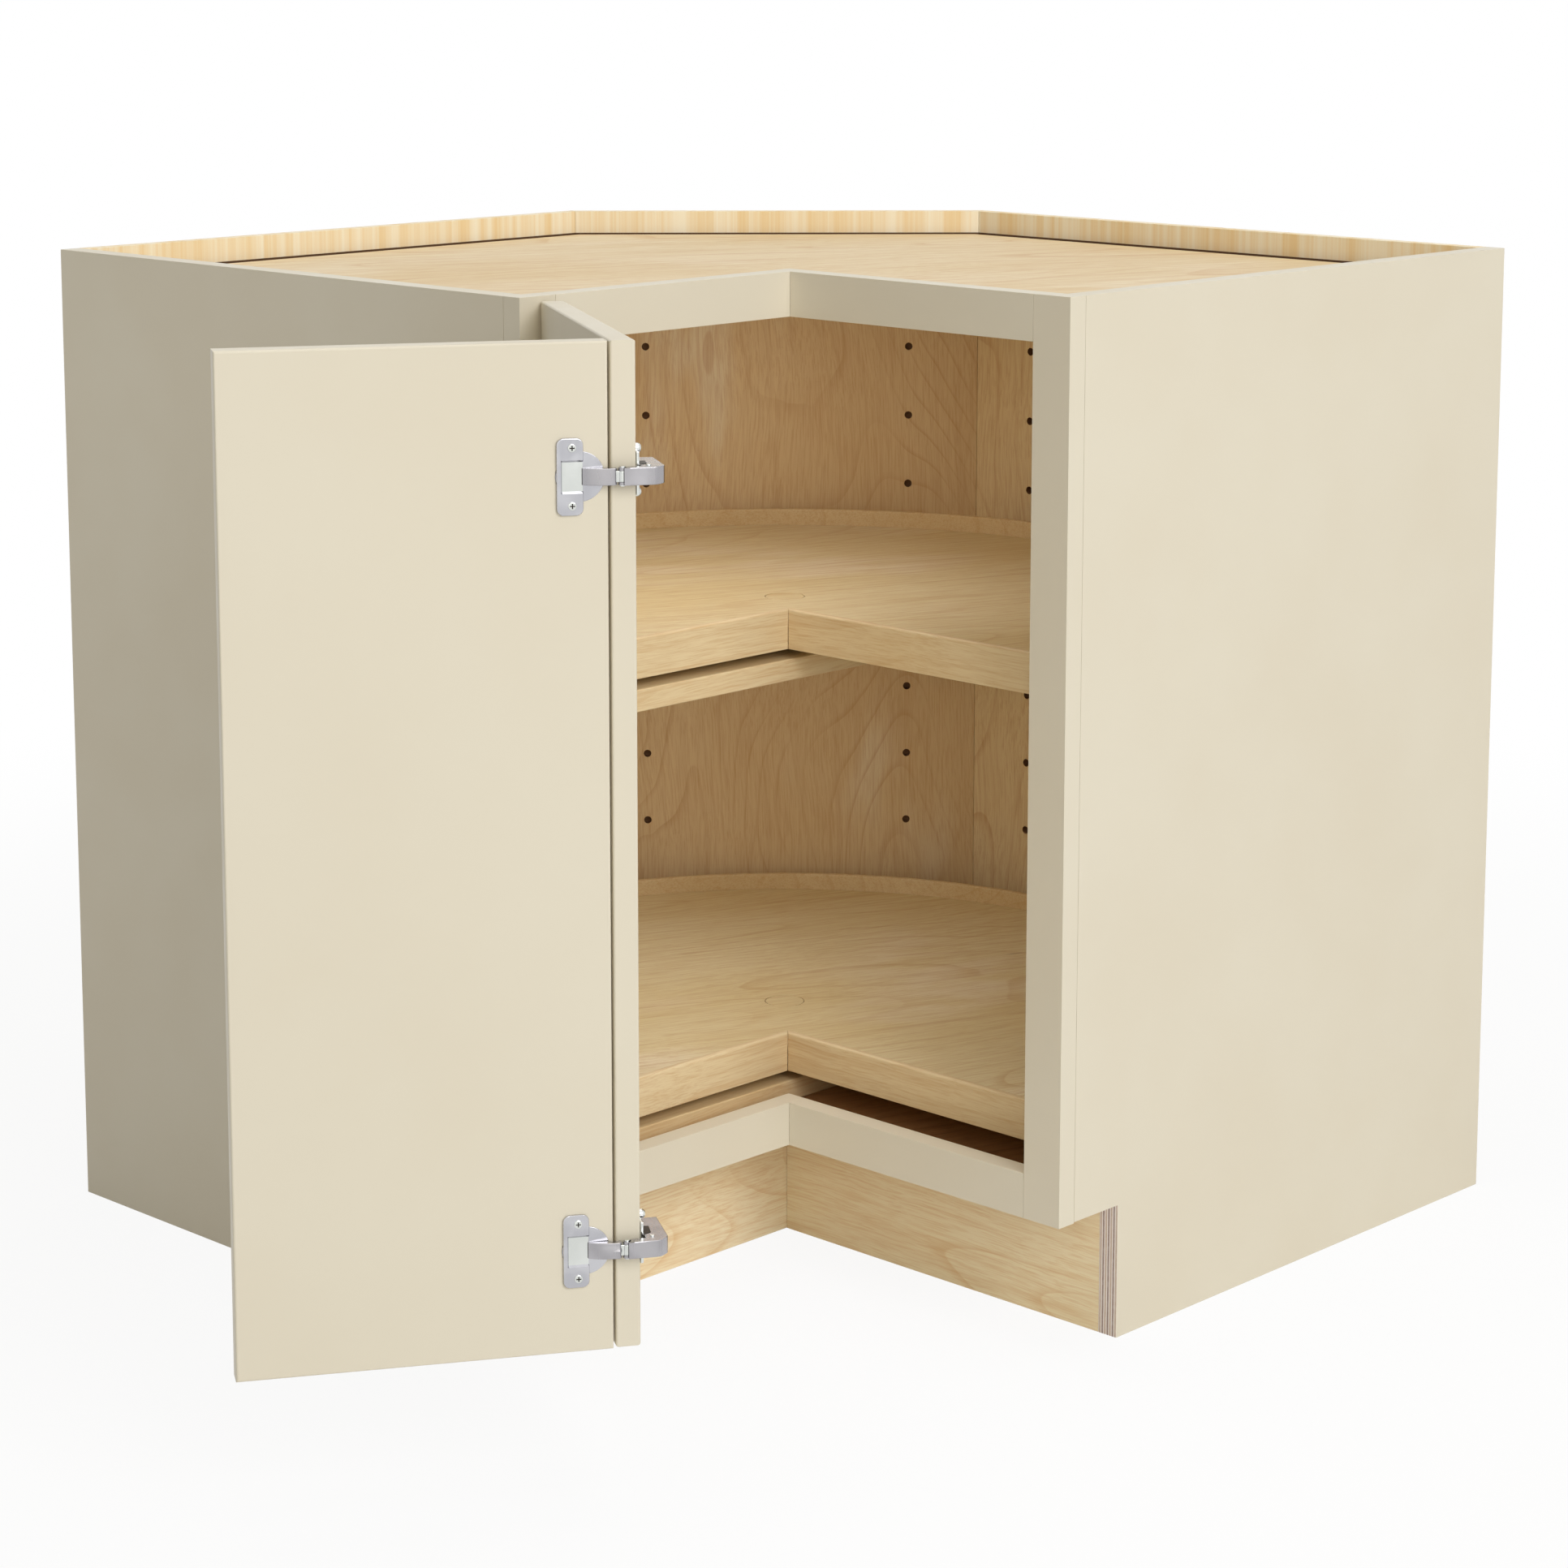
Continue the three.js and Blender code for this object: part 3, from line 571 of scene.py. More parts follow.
PAINT = SatinPaint()
PANEL_BIRCH = Veneer(
    pale=srgb(236, 212, 169), deep=srgb(227, 199, 153), line=srgb(196, 146, 96),
    rings=46.0, stretch=0.36, bend=0.1, strand_share=0.22, flame_share=0.9,
    stripes=(srgb(250, 240, 214), srgb(240, 212, 160)),
)
PALE_PANEL_BIRCH = replace(PANEL_BIRCH, pale=srgb(240, 220, 178), deep=srgb(233, 210, 164))
TRAY_BIRCH = Veneer(
    pale=srgb(238, 224, 184), deep=srgb(229, 210, 162), line=srgb(198, 156, 98),
    rings=30.0, figure_scale=4.0, stretch=0.16, flame_share=0.9,
)
DECK_BIRCH = Veneer(
    pale=srgb(236, 218, 182), deep=srgb(226, 202, 156), line=srgb(200, 152, 92),
    rings=26.0, figure_scale=4.0, stretch=0.16, line_share=0.5, strand_share=0.42, flame_share=0.7,
)
# the cabinet floor's birch is painted dark, standing in for the shade under the trays
SHADED_FLOOR_BIRCH = Veneer(
    pale=srgb(196, 150, 102), deep=srgb(178, 132, 86), line=srgb(140, 98, 58),
    flame=srgb(204, 160, 112),
)
EDGE_BIRCH = Veneer(
    pale=srgb(234, 213, 172), deep=srgb(225, 199, 152), line=srgb(202, 158, 102),
    rings=20.0, figure_scale=5.5, stretch=0.1, line_share=0.3, flame_share=0.3, knot_share=0.0,
)
TOE_BIRCH = Veneer(
    pale=srgb(249, 234, 197), deep=srgb(241, 220, 174), line=srgb(216, 168, 100),
    rings=30.0, figure_scale=5.0, stretch=0.2, line_share=0.4, strand_share=0.26, knot_share=0.0,
)
# a lighter copy of the toe birch for the left board, painted light that its place doesn't get
TOE_BIRCH_PAINTED_LIGHT = replace(TOE_BIRCH, pale=srgb(253, 242, 212), deep=srgb(249, 231, 192))


# ---- meshes ------------------------------------------------------------------------------------


def row_frame() -> Matrix:
    """Return the matrix from plan millimetres to the row frame in metres."""
    return Matrix.Scale(MM, 4) @ Matrix.Translation((-ORIGIN_MM, -ORIGIN_MM, 0))


def facing_back(x: float, y: float, z: float) -> Matrix:
    """Return the matrix that stands a screw on a door's back face, its head out along +Y."""
    return Matrix.Translation((x, y, z)) @ Matrix.Rotation(-math.pi / 2, 4, "X")


def around(middle: float, half: float) -> Pair:
    """Return the two levels that lie as far under and over a middle."""
    return middle - half, middle + half


def placed(bm: Mesh, matrix: Matrix) -> Mesh:
    """Move a mesh by a matrix and return it."""
    bmesh.ops.transform(bm, matrix=matrix, verts=bm.verts)
    return bm


def sharp(bm: Mesh, degrees: float = 35.0) -> list[Edge]:
    """Return the edges where two faces meet at more than an angle."""
    limit = math.radians(degrees)
    return [e for e in bm.edges if e.is_manifold and e.calc_face_angle(0.0) > limit]


def above(edges: Iterable[Edge], level: float) -> list[Edge]:
    """Return the edges that lie above a level."""
    return [e for e in edges if min(v.co.z for v in e.verts) > level]


def upright(edges: Iterable[Edge]) -> list[Edge]:
    """Return the edges that rise."""
    return [e for e in edges if e.verts[0].co.z != e.verts[1].co.z]


def round_edges(bm: Mesh, edges: list[Edge], radius: float, segments: int) -> None:
    """Round edges in place.

    Args:
        bm: The mesh.
        edges: Which edges.
        radius: How far the rounding reaches from each edge.
        segments: How many faces make the rounding.
    """
    if edges:
        bmesh.ops.bevel(
            bm, geom=edges, affect="EDGES", offset=radius, offset_type="OFFSET", segments=segments,
            profile=0.5, material=-1, clamp_overlap=True,
        )


def copied(node: bpy.types.Object) -> Mesh:
    """Copy a CAD node's mesh.

    Args:
        node: The CAD node.

    Returns:
        The copy, joined and with its flat faces whole again.
    """
    bm = bmesh.new()
    bm.from_mesh(node.data)
    bmesh.ops.remove_doubles(bm, verts=bm.verts, dist=WELD)
    bmesh.ops.dissolve_limit(bm, angle_limit=FLAT, verts=bm.verts, edges=bm.edges)
    return bm


def lifted(bm: Mesh, faces: list[Face], height: float) -> list[Vert]:
    """Extrude faces along Z.

    Args:
        bm: The mesh.
        faces: The faces, which stay behind.
        height: How far up the new ones lie.

    Returns:
        The corners of the new faces.
    """
    grown = bmesh.ops.extrude_face_region(bm, geom=faces)
    corners = [v for v in grown["geom"] if isinstance(v, Vert)]
    bmesh.ops.translate(bm, verts=corners, vec=(0, 0, height))
    return corners


def solid_box(low: Place, high: Place) -> Mesh:
    """Make a box.

    Args:
        low: Its lowest corner.
        high: Its highest corner.

    Returns:
        The box.
    """
    bm = bmesh.new()
    bmesh.ops.create_cube(bm, size=1.0)
    size, middle = Vector(high) - Vector(low), (Vector(high) + Vector(low)) / 2
    return placed(bm, Matrix.Translation(middle) @ Matrix.Diagonal((*size, 1.0)))


def solid_disc(
    radius: float, low: float, high: float, sides: int = 40, centre: Pair = (0.0, 0.0)
) -> Mesh:
    """Make an upright cylinder.

    Args:
        radius: Its radius.
        low: Where it starts.
        high: Where it ends.
        sides: How many faces go round it.
        centre: Where its axis stands.

    Returns:
        The cylinder.
    """
    bm = bmesh.new()
    bmesh.ops.create_circle(bm, cap_ends=True, radius=radius, segments=sides)
    bmesh.ops.translate(bm, verts=bm.verts, vec=(*centre, low))
    lifted(bm, bm.faces[:], high - low)
    bmesh.ops.recalc_face_normals(bm, faces=bm.faces)
    return bm


def solid_prism(plan: Plan, low: float, high: float) -> Mesh:
    """Raise a plan outline.

    Args:
        plan: The outline.
        low: Where it starts.
        high: Where it ends.

    Returns:
        The prism.
    """
    bm = bmesh.new()
    bm.faces.new([bm.verts.new((x, y, low)) for x, y in plan])
    lifted(bm, bm.faces[:], high - low)
    bmesh.ops.recalc_face_normals(bm, faces=bm.faces)
    return bm


def join(parts: list[Mesh]) -> Mesh:
    """Gather several meshes into the first one and free the others.

    Args:
        parts: The meshes.

    Returns:
        The first one.
    """
    whole = parts[0]
    for part in parts[1:]:
        mesh = bpy.data.meshes.new("gathering")
        part.to_mesh(mesh)
        part.free()
        whole.from_mesh(mesh)
        bpy.data.meshes.remove(mesh)
    return whole


def split(bm: Mesh, point: Place, normal: Place, near: float = 1e-5, drop: bool = False) -> list:
    """Cut a mesh's faces along a plane.

    Args:
        bm: The mesh.
        point: A point of the plane.
        normal: The plane's direction.
        near: How close to the plane a corner counts as on it.
        drop: Whether what lies on the normal's side goes.

    Returns:
        The corners and edges on the cut.
    """
    geom = bm.verts[:] + bm.edges[:] + bm.faces[:]
    plane = {"plane_co": point, "plane_no": normal, "clear_outer": drop}
    return bmesh.ops.bisect_plane(bm, geom=geom, dist=near, **plane)["geom_cut"]


def cut_off(bm: Mesh, point: Vector, away: Vector) -> None:
    """Cut a solid with a plane, drop the part on the far side and close the cut.

    Args:
        bm: The solid.
        point: A point of the plane.
        away: Points to the side that is dropped.
    """
    rim = [e for e in split(bm, point, away, 1e-6, True) if isinstance(e, Edge)]
    bmesh.ops.contextual_create(bm, geom=rim)
    bmesh.ops.recalc_face_normals(bm, faces=bm.faces)


# ---- sub-assemblies ----------------------------------------------------------------------------


@dataclass
class Workshop:
    """What every sub-assembly shares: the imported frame, and the finishing of pieces."""

    nodes: dict[str, bpy.types.Object]
    body_of: dict[str, str]
    slot_of: dict[str, str]
    made: int = 0

    def finish(
        self, bm: Mesh, name: str, materials: list[Material], body: str, slot: str,
        replaced: tuple[str, ...] = (), crease: float = 46.0,
    ) -> None:
        """Turn a mesh into a smooth-shaded piece whose flat faces stay flat, and let it ride.

        Args:
            bm: The mesh, in metres in the row frame. It is freed.
            name: The piece's name.
            materials: Its materials, in slot order.
            body: The CAD body it moves with.
            slot: The record's material slot; not used.
            replaced: The CAD nodes it replaces.
            crease: Edges that turn by more degrees than this stay sharp.
        """
        for face in bm.faces:
            face.smooth = True
        for edge in sharp(bm, crease):
            edge.smooth = False
        mesh = bpy.data.meshes.new(name)
        bm.to_mesh(mesh)
        bm.free()
        for material in materials:
            mesh.materials.append(material)
        piece = bpy.data.objects.new(name, mesh)
        bpy.context.scene.collection.objects.link(piece)
        weighted = piece.modifiers.new("even_faces", "WEIGHTED_NORMAL")
        weighted.keep_sharp = True
        weighted.weight = 100
        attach(piece, body)
        if replaced:
            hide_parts(*replaced)
        self.made += 1
        LOG.info("%s rides on %s", piece.name, body)

    def restore(
        self, node: str, word: str, materials: list[Material], radius: float, stem: str = "",
        bare: Optional[Callable[[Face], bool]] = None,
        crown: float = 0.0, crowned: Optional[Callable[[Edge], bool]] = None,
    ) -> None:
        """Replace a CAD node by a copy with rounded edges.

        Args:
            node: The CAD node.
            word: The end of the piece's name.
            materials: The face material, and the second one where bare is given: bare ply, or a
                dark colour painted as shade.
            radius: Rounding of every sharp edge, in millimetres.
            stem: The start of the piece's name, if it isn't the node's.
            bare: Picks the faces that take the second material.
            crown: Larger rounding of the edges that crowned picks.
            crowned: Picks the edges with the larger rounding.
        """
        bm = copied(self.nodes[node])
        for face in bm.faces:
            face.material_index = int(bare is not None and bare(face))
        if crowned is not None:
            round_edges(bm, [e for e in sharp(bm) if crowned(e)], crown * MM, 4)
        round_edges(bm, sharp(bm), radius * MM, 2)
        name = f"{stem or node}_{word}"
        self.finish(bm, name, materials, self.body_of[node], self.slot_of[node], (node,))


@dataclass
class Carcase:
    """End panels, back panels, floor, deck, face frame and toe boards."""

    shop: Workshop
    wall_run: float = 914.4
    toe_face: float = 381.0
    deck_top: float = 854.0
    panel: float = 19.05
    back_panel: float = 12.7
    corner_cut: float = 295.0
    groove_width: float = 10.0
    groove_depth: float = 3.0
    hole_facet: float = 60.0
    soft_edge: float = 0.3
    paint: Material = field(init=False)
    # dark raw wood painted as the shade in holes and in the deck's groove
    hole: Material = field(init=False)

    def __post_init__(self) -> None:
        """Mix the paint, and the dark raw wood painted as shade, that several boards share."""
        self.paint = PAINT.dress("cream_satin")
        self.hole = PaintedRecessShade().dress("hole_painted_shade")

    def build(self) -> None:
        """Make every piece of the carcase."""
        self.end_panels()
        self.back_panels()
        # the cabinet floor takes a birch painted dark as the shade under the trays
        floor = SHADED_FLOOR_BIRCH.dress("floor_birch_painted_shade", Grain.ACROSS, 8.2)
        self.shop.restore("bottom_panel", "veneered", [floor], self.soft_edge)
        self.deck()
        self.face_frame()
        self.toe_boards()

    def end_panels(self) -> None:
        """Paint the two end panels and leave their toe notch, back and bottom edges bare."""
        ends = [(run - ORIGIN_MM) * MM for run in (self.toe_face, self.wall_run)]
        for axis, side in ((1, "left"), (0, "right")):
            node = f"{side}_end_panel"
            across = Vector((axis, 1 - axis, 0))
            plies = PlyEdge(self.panel).dress(f"{node}_plies", across, -ORIGIN_MM * MM)

            def bare(face: Face, run: int = axis) -> bool:
                """Return whether a face is one of the panel's unpainted edges."""
                at_end = any(abs(face.calc_center_median()[run] - end) < MM for end in ends)
                return (at_end and abs(face.normal[run]) > FACING) or face.normal.z < -FACING

            self.shop.restore(node, "painted", [self.paint, plies], radius=0.25, bare=bare)

    def back_panels(self) -> None:
        """Dress the three back panels, with shade painted dark down their holes."""
        wall = (self.wall_run - ORIGIN_MM) * MM
        slant = (self.wall_run - self.corner_cut / 2 - ORIGIN_MM) * MM * math.sqrt(2)
        backs = (
            ("left", (0, 1, 0), wall, PANEL_BIRCH),
            ("corner", (1, 1, 0), slant, PANEL_BIRCH),
            ("right", (1, 0, 0), wall, PALE_PANEL_BIRCH),
        )

        def drilled(face: Face) -> bool:
            """Return whether a face lies inside a shelf-pin hole."""
            return face.calc_area() < self.hole_facet * MM * MM

        for seed, (side, direction, distance, veneer) in enumerate(backs):
            stem = f"{side}_back"
            outer = (Vector(direction).normalized(), distance)
            birch = veneer.dress(f"{stem}_birch", Grain.UPRIGHT, 3.1 + seed, outer)
            # the holes take the dark raw wood painted as the shade down them
            materials = [birch, self.hole]
            node = f"{stem}_panel"
            self.shop.restore(node, "veneered", materials, self.soft_edge, stem, drilled)

    def deck(self) -> None:
        """Make the deck as a core under a face sheet, with a groove round the sheet whose floor is
        painted dark as shade.
        """
        birch = DECK_BIRCH.dress("deck_birch", Grain.ACROSS, 5.7)
        bed = row_frame() @ Vector((0, 0, self.deck_top - self.groove_depth))
        core, sheet = (copied(self.shop.nodes["top_panel"]) for _ in range(2))
        cut_off(core, bed, Vector((0, 0, 1)))
        core.normal_update()
        # the core's top, the groove's floor, takes the dark raw wood painted as the shade in the
        # groove
        for face in core.faces:
            face.material_index = int(face.normal.z > FACING)
        cut_off(sheet, bed, Vector((0, 0, -1)))
        short = self.back_panel + self.groove_width
        wall = self.wall_run - short
        slant = self.wall_run - self.corner_cut / 2 - short / math.sqrt(2)
        for point, away in (((0, wall), (0, 1)), ((wall, 0), (1, 0)), ((slant, slant), (1, 1))):
            cut_off(sheet, row_frame() @ Vector((*point, 0)), Vector((*away, 0)))
        round_edges(sheet, sharp(sheet), self.soft_edge * MM, 2)
        for bm, word, materials in ((core, "core", [birch, self.hole]), (sheet, "sheet", [birch])):
            self.shop.finish(bm, f"deck_{word}", materials, "cabinet", "birch", ("top_panel",))

    def face_frame(self) -> None:
        """Paint the stiles and rails."""
        rails = [f"{level}_rail_{side}" for level in ("bottom", "top") for side in SIDES]
        for node in ("left_stile", "right_stile", *rails):
            self.shop.restore(node, "painted", [self.paint], self.soft_edge)

    def toe_boards(self) -> None:
        """Dress the two toe boards."""
        # the left board's birch is painted lighter, standing in for light
        boards = (("left", Grain.ALONG_X, TOE_BIRCH_PAINTED_LIGHT), ("right", Grain.ALONG_Y, TOE_BIRCH))
        for seed, (side, grain, veneer) in enumerate(boards):
            birch = veneer.dress(f"toe_birch_{side}", grain, 11.4 + seed)
            self.shop.restore(f"toe_board_{side}", "bare", [birch], radius=0.4)


@dataclass
class Supports:
    """The boards that carry the trays, their cleats, and the bearings."""

    shop: Workshop

    def build(self) -> None:
        """Make both support boards, both cleats and both bearings."""
        for seed, level in enumerate(LEVELS):
            stem = f"{level}_support"
            birch = EDGE_BIRCH.dress(f"{stem}_birch", Grain.ALONG_X, 15.3 + seed)
            self.shop.restore(f"{stem}_board", "planed", [birch], radius=1.2, stem=stem)
            steel = Tone.PLAIN.value.dress(f"{level}_bearing_steel")
            for part, radius in (("bearing_base", 0.3), ("bearing_top", 0.3), ("ball_cage", 0.1)):
                self.shop.restore(f"{level}_{part}", "plated", [steel], radius)
        for seed, side in enumerate(SIDES):
            birch = EDGE_BIRCH.dress(f"{side}_cleat_birch", Grain.ALONG_Y, 18.9 + seed)
            self.shop.restore(f"{side}_cleat", "planed", [birch], radius=1.0)


@dataclass
class Tray:
    """One pie-cut tray: floor, bent band, two front boards and the plug in the middle."""

    shop: Workshop
    level: str
    seed: float
    front_crown: float = 2.2
    band_crown: float = 1.8
    top_reach: float = 0.2

    def build(self) -> None:
        """Make the tray's five pieces."""
        stem = f"{self.level}_tray"
        floor, plug = (
            TRAY_BIRCH.dress(f"{self.level}_{part}_birch", Grain.ACROSS, self.seed + step)
            for part, step in (("floor", 0), ("plug", 2))
        )
        # the plug's round side takes a dark colour painted as the shade in the gap round it
        ring = PaintedRecessShade().dress(f"{self.level}_plug_ring")

        def round_side(face: Face) -> bool:
            """Return whether a face is the plug's round side."""
            return abs(face.normal.z) < 0.5

        self.shop.restore(f"{stem}_floor", "bed", [floor], radius=0.3, stem=stem)
        self.shop.restore(f"{stem}_plug", "turned", [plug, ring], radius=0.9, bare=round_side)
        self.rim("band", Grain.ALONG_X, self.seed + 4, self.band_crown)
        for axis, (side, grain) in enumerate(zip(SIDES, (Grain.ALONG_X, Grain.ALONG_Y))):
            self.rim(f"front_{side}", grain, self.seed + 6, self.front_crown, axis)

    def rim(
        self, part: str, grain: Grain, seed: float, crown: float, axis: Optional[int] = None
    ) -> None:
        """Make one edge board with a rounded top.

        Args:
            part: The node's name after the tray's.
            grain: Which way the board's grain runs.
            seed: Shifts the board's figure.
            crown: Rounding of the top edges, in millimetres.
            axis: The plan axis that a straight board runs along.
        """
        node = f"{self.level}_tray_{part}"
        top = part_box(node)[1].z
        birch = EDGE_BIRCH.dress(f"{self.level}_{part}_birch", grain, seed)

        def along_top(edge: Edge) -> bool:
            """Tell whether an edge lies along the board's top.

            Args:
                edge: An edge of the board.

            Returns:
                Whether it does.
            """
            first, second = (v.co for v in edge.verts)
            along = axis is None or abs((second - first).normalized()[axis]) > FACING
            return along and min(first.z, second.z) > top - self.top_reach * MM

        self.shop.restore(node, "rounded", [birch], radius=0.4, crown=crown, crowned=along_top)


@dataclass(frozen=True)
class DoorSpot:
    """Where hinge pieces drawn on a door end up: hinge end at x = 0, back face at y = 19.05."""

    swing: float = -122.3
    pivot: Pair = (26.7, 293.6)
    first_at: Pair = (20.6, 283.75)
    second_at: Pair = (283.75, 281.75)

    def open_turn(self) -> Matrix:
        """Return the turn of the whole pair about its pivot."""
        there = Matrix.Translation((*self.pivot, 0))
        return there @ Matrix.Rotation(math.radians(self.swing), 4, "Z") @ there.inverted()

    def first(self) -> Matrix:
        """Return the matrix from the hung door's drawing to the row frame."""
        return row_frame() @ self.open_turn() @ Matrix.Translation((*self.first_at, 0))

    def second(self) -> Matrix:
        """Return the matrix from the folding door's drawing to the row frame."""
        turned = Matrix.Translation((*self.second_at, 0)) @ Matrix.Rotation(-math.pi / 2, 4, "Z")
        return row_frame() @ self.open_turn() @ turned


@dataclass
class CrossHead:
    """A pan-head screw with a cross recess, standing on Z with its head's underside at 0.

    Its recess's floor takes the second material, a dark colour painted as shade.
    """

    radius: float = 3.1
    height: float = 1.0
    cross: float = 1.9
    slot: float = 0.9
    depth: float = 0.55

    def at(self, spot: Matrix) -> Mesh:
        """Make the head: a domed disc with four raised quarters round a sunk cross.

        Args:
            spot: The matrix that stands it in its place.

        Returns:
            The head.
        """
        bm = solid_disc(self.radius, 0.0, self.height, 32)
        round_edges(bm, above(bm.edges, self.height / 2), self.height * DOME, 3)
        half = self.slot / 2
        for axis in ((1, 0, 0), (0, 1, 0)):
            for place in (-self.cross, -half, half, self.cross):
                split(bm, Vector(axis) * place, axis)
        inside = []
        for face in bm.faces:
            near, far = sorted(abs(value) for value in face.calc_center_median().xy)
            if face.normal.z > FACING and near < half and far < self.cross:
                inside.append(face)
        floor = lifted(bm, inside, -self.depth)
        bmesh.ops.delete(bm, geom=inside, context="FACES")
        bmesh.ops.recalc_face_normals(bm, faces=bm.faces)
        # the recess's floor takes the second material, painted shade
        for face in bm.faces:
            face.material_index = int(all(v in floor for v in face.verts))
        return placed(bm, spot)


@dataclass
class FoldHinge:
    """One hinge between the two doors: cup, strap, arm, pin, plate and their screws.

    The cup and strap are drawn on the folding door and the arm on the hung door, in millimetres.
    """

    shop: Workshop
    spot: DoorSpot
    level: str
    z: float
    face: float = 19.35
    flange: Pair = (19.6, 56.0)
    flange_inset: float = 28.2
    flange_thickness: float = 2.0
    flange_corner: float = 5.0
    flange_rim: float = 0.8
    dish_half: float = 10.6
    dish_slope: float = 1.5
    dish_depth: float = 1.4
    dish_lip: float = 3.2
    dish_step: float = 0.9
    cup_inset: float = 21.0
    cup_radius: float = 17.5
    cup_depth: float = 11.5
    collar_radius: float = 18.3
    collar_height: float = 0.45
    collar_end: float = 32.2
    screw_inset: float = 26.8
    screw_spacing: float = 42.0
    shank_radius: float = 1.9
    shank_length: float = 12.0
    pin: Pair = (-9.25, 24.25)
    knuckle: float = 3.2
    knuckle_half: float = 4.0
    neck_half: float = 2.0
    neck_length: float = 5.0
    strap_half: float = 6.2
    strap_end: float = 19.2
    ridge_half: float = 2.6
    ridge_height: float = 0.9
    plate_screw: Pair = (258.2, 32.0)
    plate_thickness: float = 2.6
    arm_pin: Pair = (287.4, 7.25)
    arm_half: float = 6.5
    arm_bend: float = 2.5
    arm_edge: float = 0.7
    lug_radius: float = 3.0
    lug_half: float = 6.3
    lug_gap: float = 4.15
    rivet: Pair = (281.7, 27.5)
    rivet_radius: float = 1.9
    rivet_proud: float = 0.9
    # how far the dark patch painted as an opening's shade stands out
    opening_proud: float = 0.3
    strap_plan: Plan = (
        (-5.35, 21.65), (4.0, 20.95), (19.5, 19.75), (19.5, 20.95), (14.0, 23.75), (4.0, 26.65),
        (-2.75, 27.25), (-3.75, 26.85), (-5.35, 25.25),
    )
    arm_plan: Plan = (
        (292.0, 11.45), (292.0, 32.05), (285.0, 39.05), (241.4, 39.05), (241.4, 22.25),
        (284.0, 22.25), (284.0, 11.45),
    )
    cover_plan: Plan = ((291.1, 7.95), (292.0, 7.95), (292.0, 12.05), (291.1, 12.05))
    lug_plan: Plan = ((284.3, 8.05), (291.7, 8.05), (291.7, 12.25), (284.3, 12.25))
    # outline of the dark patch painted as the shade of the arm's opening
    opening_plan: Plan = ((259.0, 23.0), (277.0, 23.0), (274.0, 28.0), (261.0, 29.0))
    steels: list[Material] = field(init=False)

    def __post_init__(self) -> None:
        """Mix the four tones of the hinge's nickel, three of them carrying painted shade or
        highlight.
        """
        stem = f"{self.level}_fold"
        self.steels = [tone.value.dress(f"{stem}_{tone.name.lower()}") for tone in Tone]

    def build(self) -> None:
        """Make the hinge's pieces."""
        self.cup()
        self.screws()
        self.arm()
        self.arm_fittings()

    def head_steels(self) -> list[Material]:
        """Return the screws' materials: the head's, painted light as a highlight, and its recess's,
        painted dark as shade.
        """
        return [self.steels[Tone.PAINTED_HIGHLIGHT.slot], self.steels[Tone.PAINTED_SHADE.slot]]

    def cup(self) -> None:
        """Make the cup with its collar, dished flange and strap."""
        bm = placed(join([self.flange_plate(), self.bowl(), self.strap()]), self.spot.second())
        bmesh.ops.recalc_face_normals(bm, faces=bm.faces)
        node = f"{self.level}_fold_cup"
        name = f"{node}_pressed"
        self.shop.finish(bm, name, self.steels, "second_door", "nickel", (node,), 30.0)

    def flange_plate(self) -> Mesh:
        """Make the flange, with a dish pressed across its middle.

        Returns:
            The flange.
        """
        width, tall = self.flange
        top = self.flange_thickness
        bm = solid_box((-width / 2, -tall / 2, 0), (width / 2, tall / 2, top))
        round_edges(bm, upright(bm.edges), self.flange_corner, 5)
        round_edges(bm, above(sharp(bm), top - TOUCH), self.flange_rim, 3)
        inner, outer = self.dish_half, self.dish_half + self.dish_slope
        lip = self.dish_lip - width / 2
        for y in (-outer, -inner, inner, outer):
            split(bm, (0, y, 0), (0, 1, 0))
        for x in (lip, lip + self.dish_step):
            split(bm, (x, 0, 0), (1, 0, 0))
        start = lip + self.dish_step - TOUCH
        sunk = [
            v
            for v in bm.verts
            if v.co.z > top / 2 and abs(v.co.y) < inner + TOUCH and v.co.x > start
        ]
        bmesh.ops.translate(bm, verts=sunk, vec=(0, 0, -self.dish_depth))
        bm.normal_update()
        # the dish's floor takes the lighter copy of the nickel, a painted highlight
        for face in bm.faces:
            is_floor = face.normal.z > FACING and all(v in sunk for v in face.verts)
            face.material_index = Tone.PAINTED_HIGHLIGHT.slot if is_floor else Tone.PLAIN.slot
        # the dish opens towards the door's hinge end
        turn = Matrix.Rotation(math.pi, 4, "Z")
        return placed(bm, facing_back(self.flange_inset, self.face, self.z) @ turn)

    def bowl(self) -> Mesh:
        """Make the cup in the door and the collar round its mouth, which ends under the flange.

        Returns:
            The two.
        """
        cup = solid_disc(self.cup_radius, -self.cup_depth, LAP)
        collar = solid_disc(self.collar_radius, 0.0, self.collar_height, 64)
        rim = above(sharp(collar), self.collar_height / 2)
        round_edges(collar, rim, self.collar_height * DOME, 3)
        for part in (cup, collar):
            placed(part, facing_back(self.cup_inset, self.face, self.z))
        cut_off(collar, Vector((self.collar_end, 0, 0)), Vector((1, 0, 0)))
        return join([cup, collar])

    def strap(self) -> Mesh:
        """Make the strap from the cup to its knuckle round the pin.

        Returns:
            The strap.
        """
        x, y = self.pin
        low, high = around(self.z, self.knuckle_half)
        bar = solid_prism(self.strap_plan, *around(self.z, self.strap_half))
        far = (x + self.neck_length, y + self.neck_half, high)
        neck = solid_box((x, y - self.neck_half, low), far)
        knuckle = solid_disc(self.knuckle, low, high, centre=self.pin)
